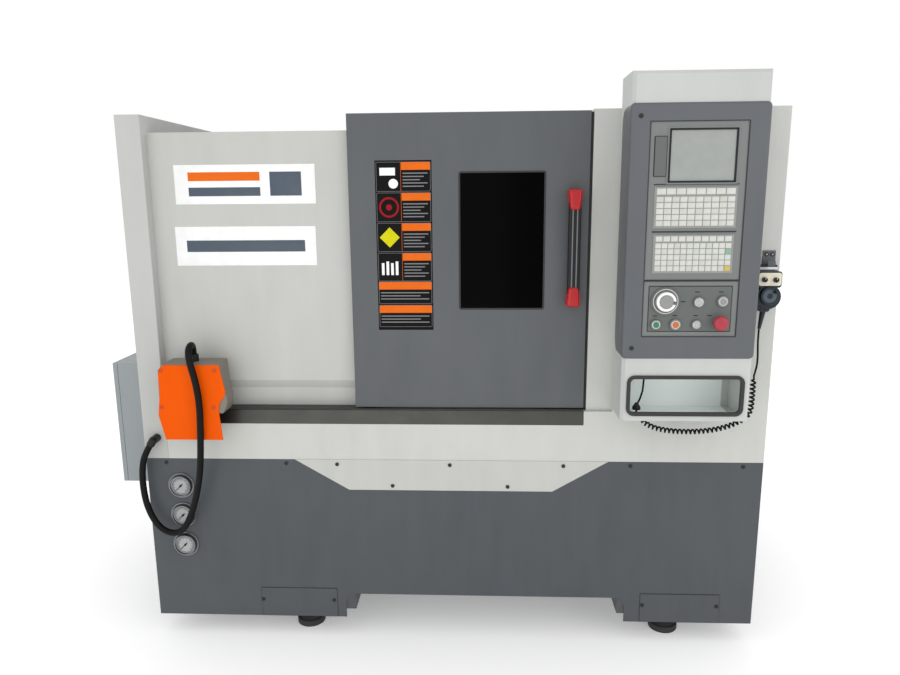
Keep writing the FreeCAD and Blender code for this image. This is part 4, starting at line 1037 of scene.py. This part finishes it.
@dataclass
class Pendant:
    """Hand pendant on its hook, with the curly lead to the control box."""

    upper: tuple[Point, ...] = (
        (1019.8, FRONT - 40.2, 1050.9), (1015.5, FRONT - 50, 1010.0), (1014.5, FRONT - 63, 974.0),
        (1009.0, FRONT - 74, 943.0), (1000.0, FRONT - 79, 918.0))
    coil: tuple[Point, ...] = (
        (1000.0, FRONT - 80, 916.0), (999.0, FRONT - 84, 858.0), (996.0, FRONT - 84, 800.0),
        (946.0, FRONT - 84, 770.0), (886.0, FRONT - 82, 753.0), (822.0, FRONT - 80, 748.0),
        (758.0, FRONT - 80, 751.0), (704.0, FRONT - 82, 765.0), (677.5, FRONT - 84, 786.5))
    lower: tuple[Point, ...] = (
        (675.0, FRONT - 84, 790.5), (663.0, FRONT - 86, 806.0), (664.0, FRONT - 90, 838.0),
        (680.0, FRONT - 94, 868.0), (681.0, FRONT - 94, 922.0))
    wheel: tuple[float, float] = (1032.0, 1153.0)
    knobs: tuple[tuple[float, float], ...] = ((1015.0, 1200.0), (1047.0, 1199.0))
    wire_radius: float = 2.75
    coil_radius: float = 6.1
    pitch: float = 12.5
    turn_points: int = 12
    run_in: int = 14
    lead_length: float = 1.65

    def dress_nodes(self) -> None:
        """Dark blue-grey body, slate bracket, black knobs."""
        dress(["pendant_body", "pendant_wheel"], Finish.PENDANT_CASE)
        dress(["pendant_bracket"], Finish.BEZEL_COAT)
        dress(["pendant_axis_knob", "pendant_rate_knob"], Finish.BLACK)

    def small_parts(self) -> None:
        """Knob marks, the wheel's scale ring, the silver top plate and small bright screws."""
        x, z = self.wheel
        for body, (kx, kz) in zip(("pendant_axis_knob", "pendant_rate_knob"), self.knobs):
            bm = bmesh.new()
            add_block(bm, (kx - 0.8, FRONT - 76.6, kz + 1.0), (kx + 0.8, FRONT - 75.6, kz + 6.2), 0.3)
            set_piece(bm, body + "_mark", body, Finish.CREAM)
        turned_piece("pendant_wheel_scale", "pendant_wheel", Finish.PRINT_SLATE,
                     (x, FRONT - 71.9, z), [(8.0, 0), (19.0, 0), (19.0, 0.4), (8.0, 0.4), (8.0, 0)])
        bm = bmesh.new()
        add_block(bm, (1008.0, FRONT - 44.0, 1222.0), (1060.0, FRONT - 39.0, 1234.0), 1.2)
        for sx in (1040.0, 1056.5):
            add_turned(bm, (sx, FRONT - 4, 1267),
                       [(0, 0), (4.0, 0), (3.6, 1.6), (1.8, 2.2), (0, 2.2)], steps=24)
        set_piece(bm, "pendant_bright_parts", "machine", Finish.CHROME)

    def lead(self) -> None:
        """One lead: straight, wound into a curl, and straight again up into the pocket."""
        helix = self.wind(line_points(self.coil))
        points = list(self.upper) + helix + list(self.lower)
        piece = cord_curve("pendant_curly_lead", points, self.wire_radius, 4)
        piece.data.materials.append(Finish.CONDUIT.material())
        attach(piece, "machine")
        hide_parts("pendant_lead_upper", "pendant_lead_coil", "pendant_lead_lower")
        LOG.info("lead length %.4f", line_length(line_points(points)))

    def wind(self, line: list[Vector]) -> list[Point]:
        """Wind a helix round the coil's centre line.

        Args:
            line: points of the centre line, in metres.

        Returns:
            Points of the helix in millimetres, 12 a turn.
        """
        total = line_length(line)
        turns = round(total / (self.pitch * MM))
        steps = turns * self.turn_points
        normal = Vector((0, 1, 0))
        out: list[Point] = []
        for i in range(4, steps - 3):
            at, along = sample(line, total * i / steps)
            normal = (normal - along * normal.dot(along)).normalized()
            side = along.cross(normal)
            angle = math.tau * i / self.turn_points
            grow = min(1.0, i / self.run_in, (steps - i) / self.run_in)
            spot = at + (normal * math.cos(angle) + side * math.sin(angle)) * self.coil_radius * MM * grow
            out.append(tuple(spot / MM))
        return out


# ------------------------------------------------------------------ cord helpers
def cord_curve(name: str, points: Sequence[Point], radius: float, rings: int = 6) -> bpy.types.Object:
    """Make a round cord as one open NURBS spline through its control points.

    Args:
        name: piece name.
        points: control points in millimetres.
        radius: cord radius in millimetres.
        rings: roundness of the section.

    Returns:
        The curve object.
    """
    curve = bpy.data.curves.new(name, "CURVE")
    curve.dimensions = "3D"
    curve.bevel_depth = radius * MM
    curve.bevel_resolution = rings
    curve.resolution_u = 8 if len(points) < COIL_POINTS else 2
    curve.use_fill_caps = True
    spline = curve.splines.new("NURBS")
    spline.points.add(len(points) - 1)
    for knot, place in zip(spline.points, points):
        knot.co = (*m(*place), 1.0)
    spline.order_u = 3
    spline.use_endpoint_u = True
    return link_object(name, curve)


def line_points(points: Sequence[Point]) -> list[Vector]:
    """Points of the NURBS line through control points, in metres.

    Args:
        points: control points in millimetres.

    Returns:
        Points along the smooth line.
    """
    bare = cord_curve("line_sample", points, 0.0)
    bare.data.resolution_u = 24 if len(points) < COIL_POINTS else 2
    mesh = bpy.data.meshes.new_from_object(bare)
    line = [v.co.copy() for v in mesh.vertices]
    bpy.data.meshes.remove(mesh)
    bpy.data.objects.remove(bare)
    return line


def line_length(line: Sequence[Vector]) -> float:
    """Length of a line of points."""
    return sum((b - a).length for a, b in zip(line, line[1:]))


def sample(line: Sequence[Vector], distance: float) -> tuple[Vector, Vector]:
    """Point and direction at a distance along a line.

    Args:
        line: points of the line.
        distance: distance from its start.

    Returns:
        The point and the unit direction there.
    """
    for a, b in zip(line, line[1:]):
        run = (b - a).length
        if distance <= run:
            return a.lerp(b, distance / run if run else 0.0), (b - a).normalized()
        distance -= run
    return line[-1].copy(), (line[-1] - line[-2]).normalized()


# ------------------------------------------------------------------ studio
@dataclass
class Studio:
    """Camera, pale floor and soft lights."""

    eye: Point = (207.0, FRONT - 2140.0, 1441.0)
    yaw: float = -2.57
    pitch: float = 11.17
    roll: float = 0.473
    lens: float = 28.6

    def camera(self) -> None:
        """Camera at eye height in front of the machine, a little right of its middle."""
        data = bpy.data.cameras.new("view")
        data.lens = self.lens
        data.sensor_width = 36.0
        camera = link_object("view", data)
        yaw, pitch, roll = (math.radians(a) for a in (self.yaw, self.pitch, self.roll))
        ahead = Vector((math.sin(yaw) * math.cos(pitch), math.cos(yaw) * math.cos(pitch), -math.sin(pitch)))
        right = Vector((math.cos(yaw), -math.sin(yaw), 0))
        down = ahead.cross(right)
        across = right * math.cos(roll) + down * math.sin(roll)
        below = down * math.cos(roll) - right * math.sin(roll)
        turn = Matrix((across, -below, -ahead)).transposed().to_4x4()
        camera.matrix_world = Matrix.Translation(m(*self.eye)) @ turn
        bpy.context.scene.camera = camera

    def floor(self) -> None:
        """Large pale floor."""
        bm = bmesh.new()
        bmesh.ops.create_grid(bm, x_segments=1, y_segments=1, size=9.0)
        mesh = bpy.data.meshes.new("floor")
        bm.to_mesh(mesh)
        bm.free()
        floor = link_object("floor", mesh)
        material, _, shader, _ = start_material("pale_floor")
        shader.inputs["Base Color"].default_value = hex_rgb("f2f2f2")
        shader.inputs["Roughness"].default_value = 0.9
        shader.inputs["Specular IOR Level"].default_value = 0.1
        shader.inputs["Emission Color"].default_value = hex_rgb("ffffff")
        shader.inputs["Emission Strength"].default_value = 0.25
        mesh.materials.append(material)

    def lights(self) -> None:
        """Soft box lights and an even white surround."""
        world = bpy.data.worlds.new("surround")
        bpy.context.scene.world = world
        world.use_nodes = True
        back = world.node_tree.nodes["Background"]
        back.inputs["Color"].default_value = hex_rgb("ffffff")
        back.inputs["Strength"].default_value = 1.0
        for name, spot, aim, size, power in (
                ("key", (-1.6, -3.6, 3.0), (0.0, -0.3, 0.9), 2.6, 8.0),
                ("fill", (3.0, -3.2, 2.0), (0.2, -0.3, 0.9), 2.4, 17.0),
                ("low", (-0.6, -3.4, 0.8), (-0.4, 0.0, 0.9), 2.0, 9.0)):
            data = bpy.data.lights.new(name, "AREA")
            data.energy = power
            data.size = size
            lamp = link_object(name, data)
            lamp.location = spot
            lamp.rotation_mode = "QUATERNION"
            lamp.rotation_quaternion = (Vector(aim) - Vector(spot)).to_track_quat("-Z", "Y")
        bpy.context.scene.view_settings.view_transform = "Standard"


def main() -> None:
    """Build every sub-assembly in order."""
    logging.basicConfig(level=logging.INFO, format="%(message)s")
    studio = Studio()
    studio.camera()
    foot_switch = FootSwitch()
    foot_switch.dress_nodes()
    foot_switch.conduit()
    pendant = Pendant()
    pendant.dress_nodes()
    pendant.lead()
    pendant.small_parts()
    enclosure = Enclosure()
    enclosure.dress_nodes()
    enclosure.plates()
    enclosure.seals()
    enclosure.track_gap_painted_shade()
    enclosure.access_outlines()
    enclosure.cabinet_fittings()
    door = Door()
    door.dress_nodes()
    door.handle()
    door.window_gasket()
    door.printed_strip()
    door.shoes()
    box = ControlBox()
    box.dress_nodes()
    box.gaskets()
    box.keypads()
    box.buttons()
    box.selector_knob()
    box.print_marks()
    gauges = Gauges()
    gauges.dress_nodes()
    gauges.dials()
    WorkZone().dress_nodes()
    studio.floor()
    studio.lights()


if __name__ == "__main__":
    main()
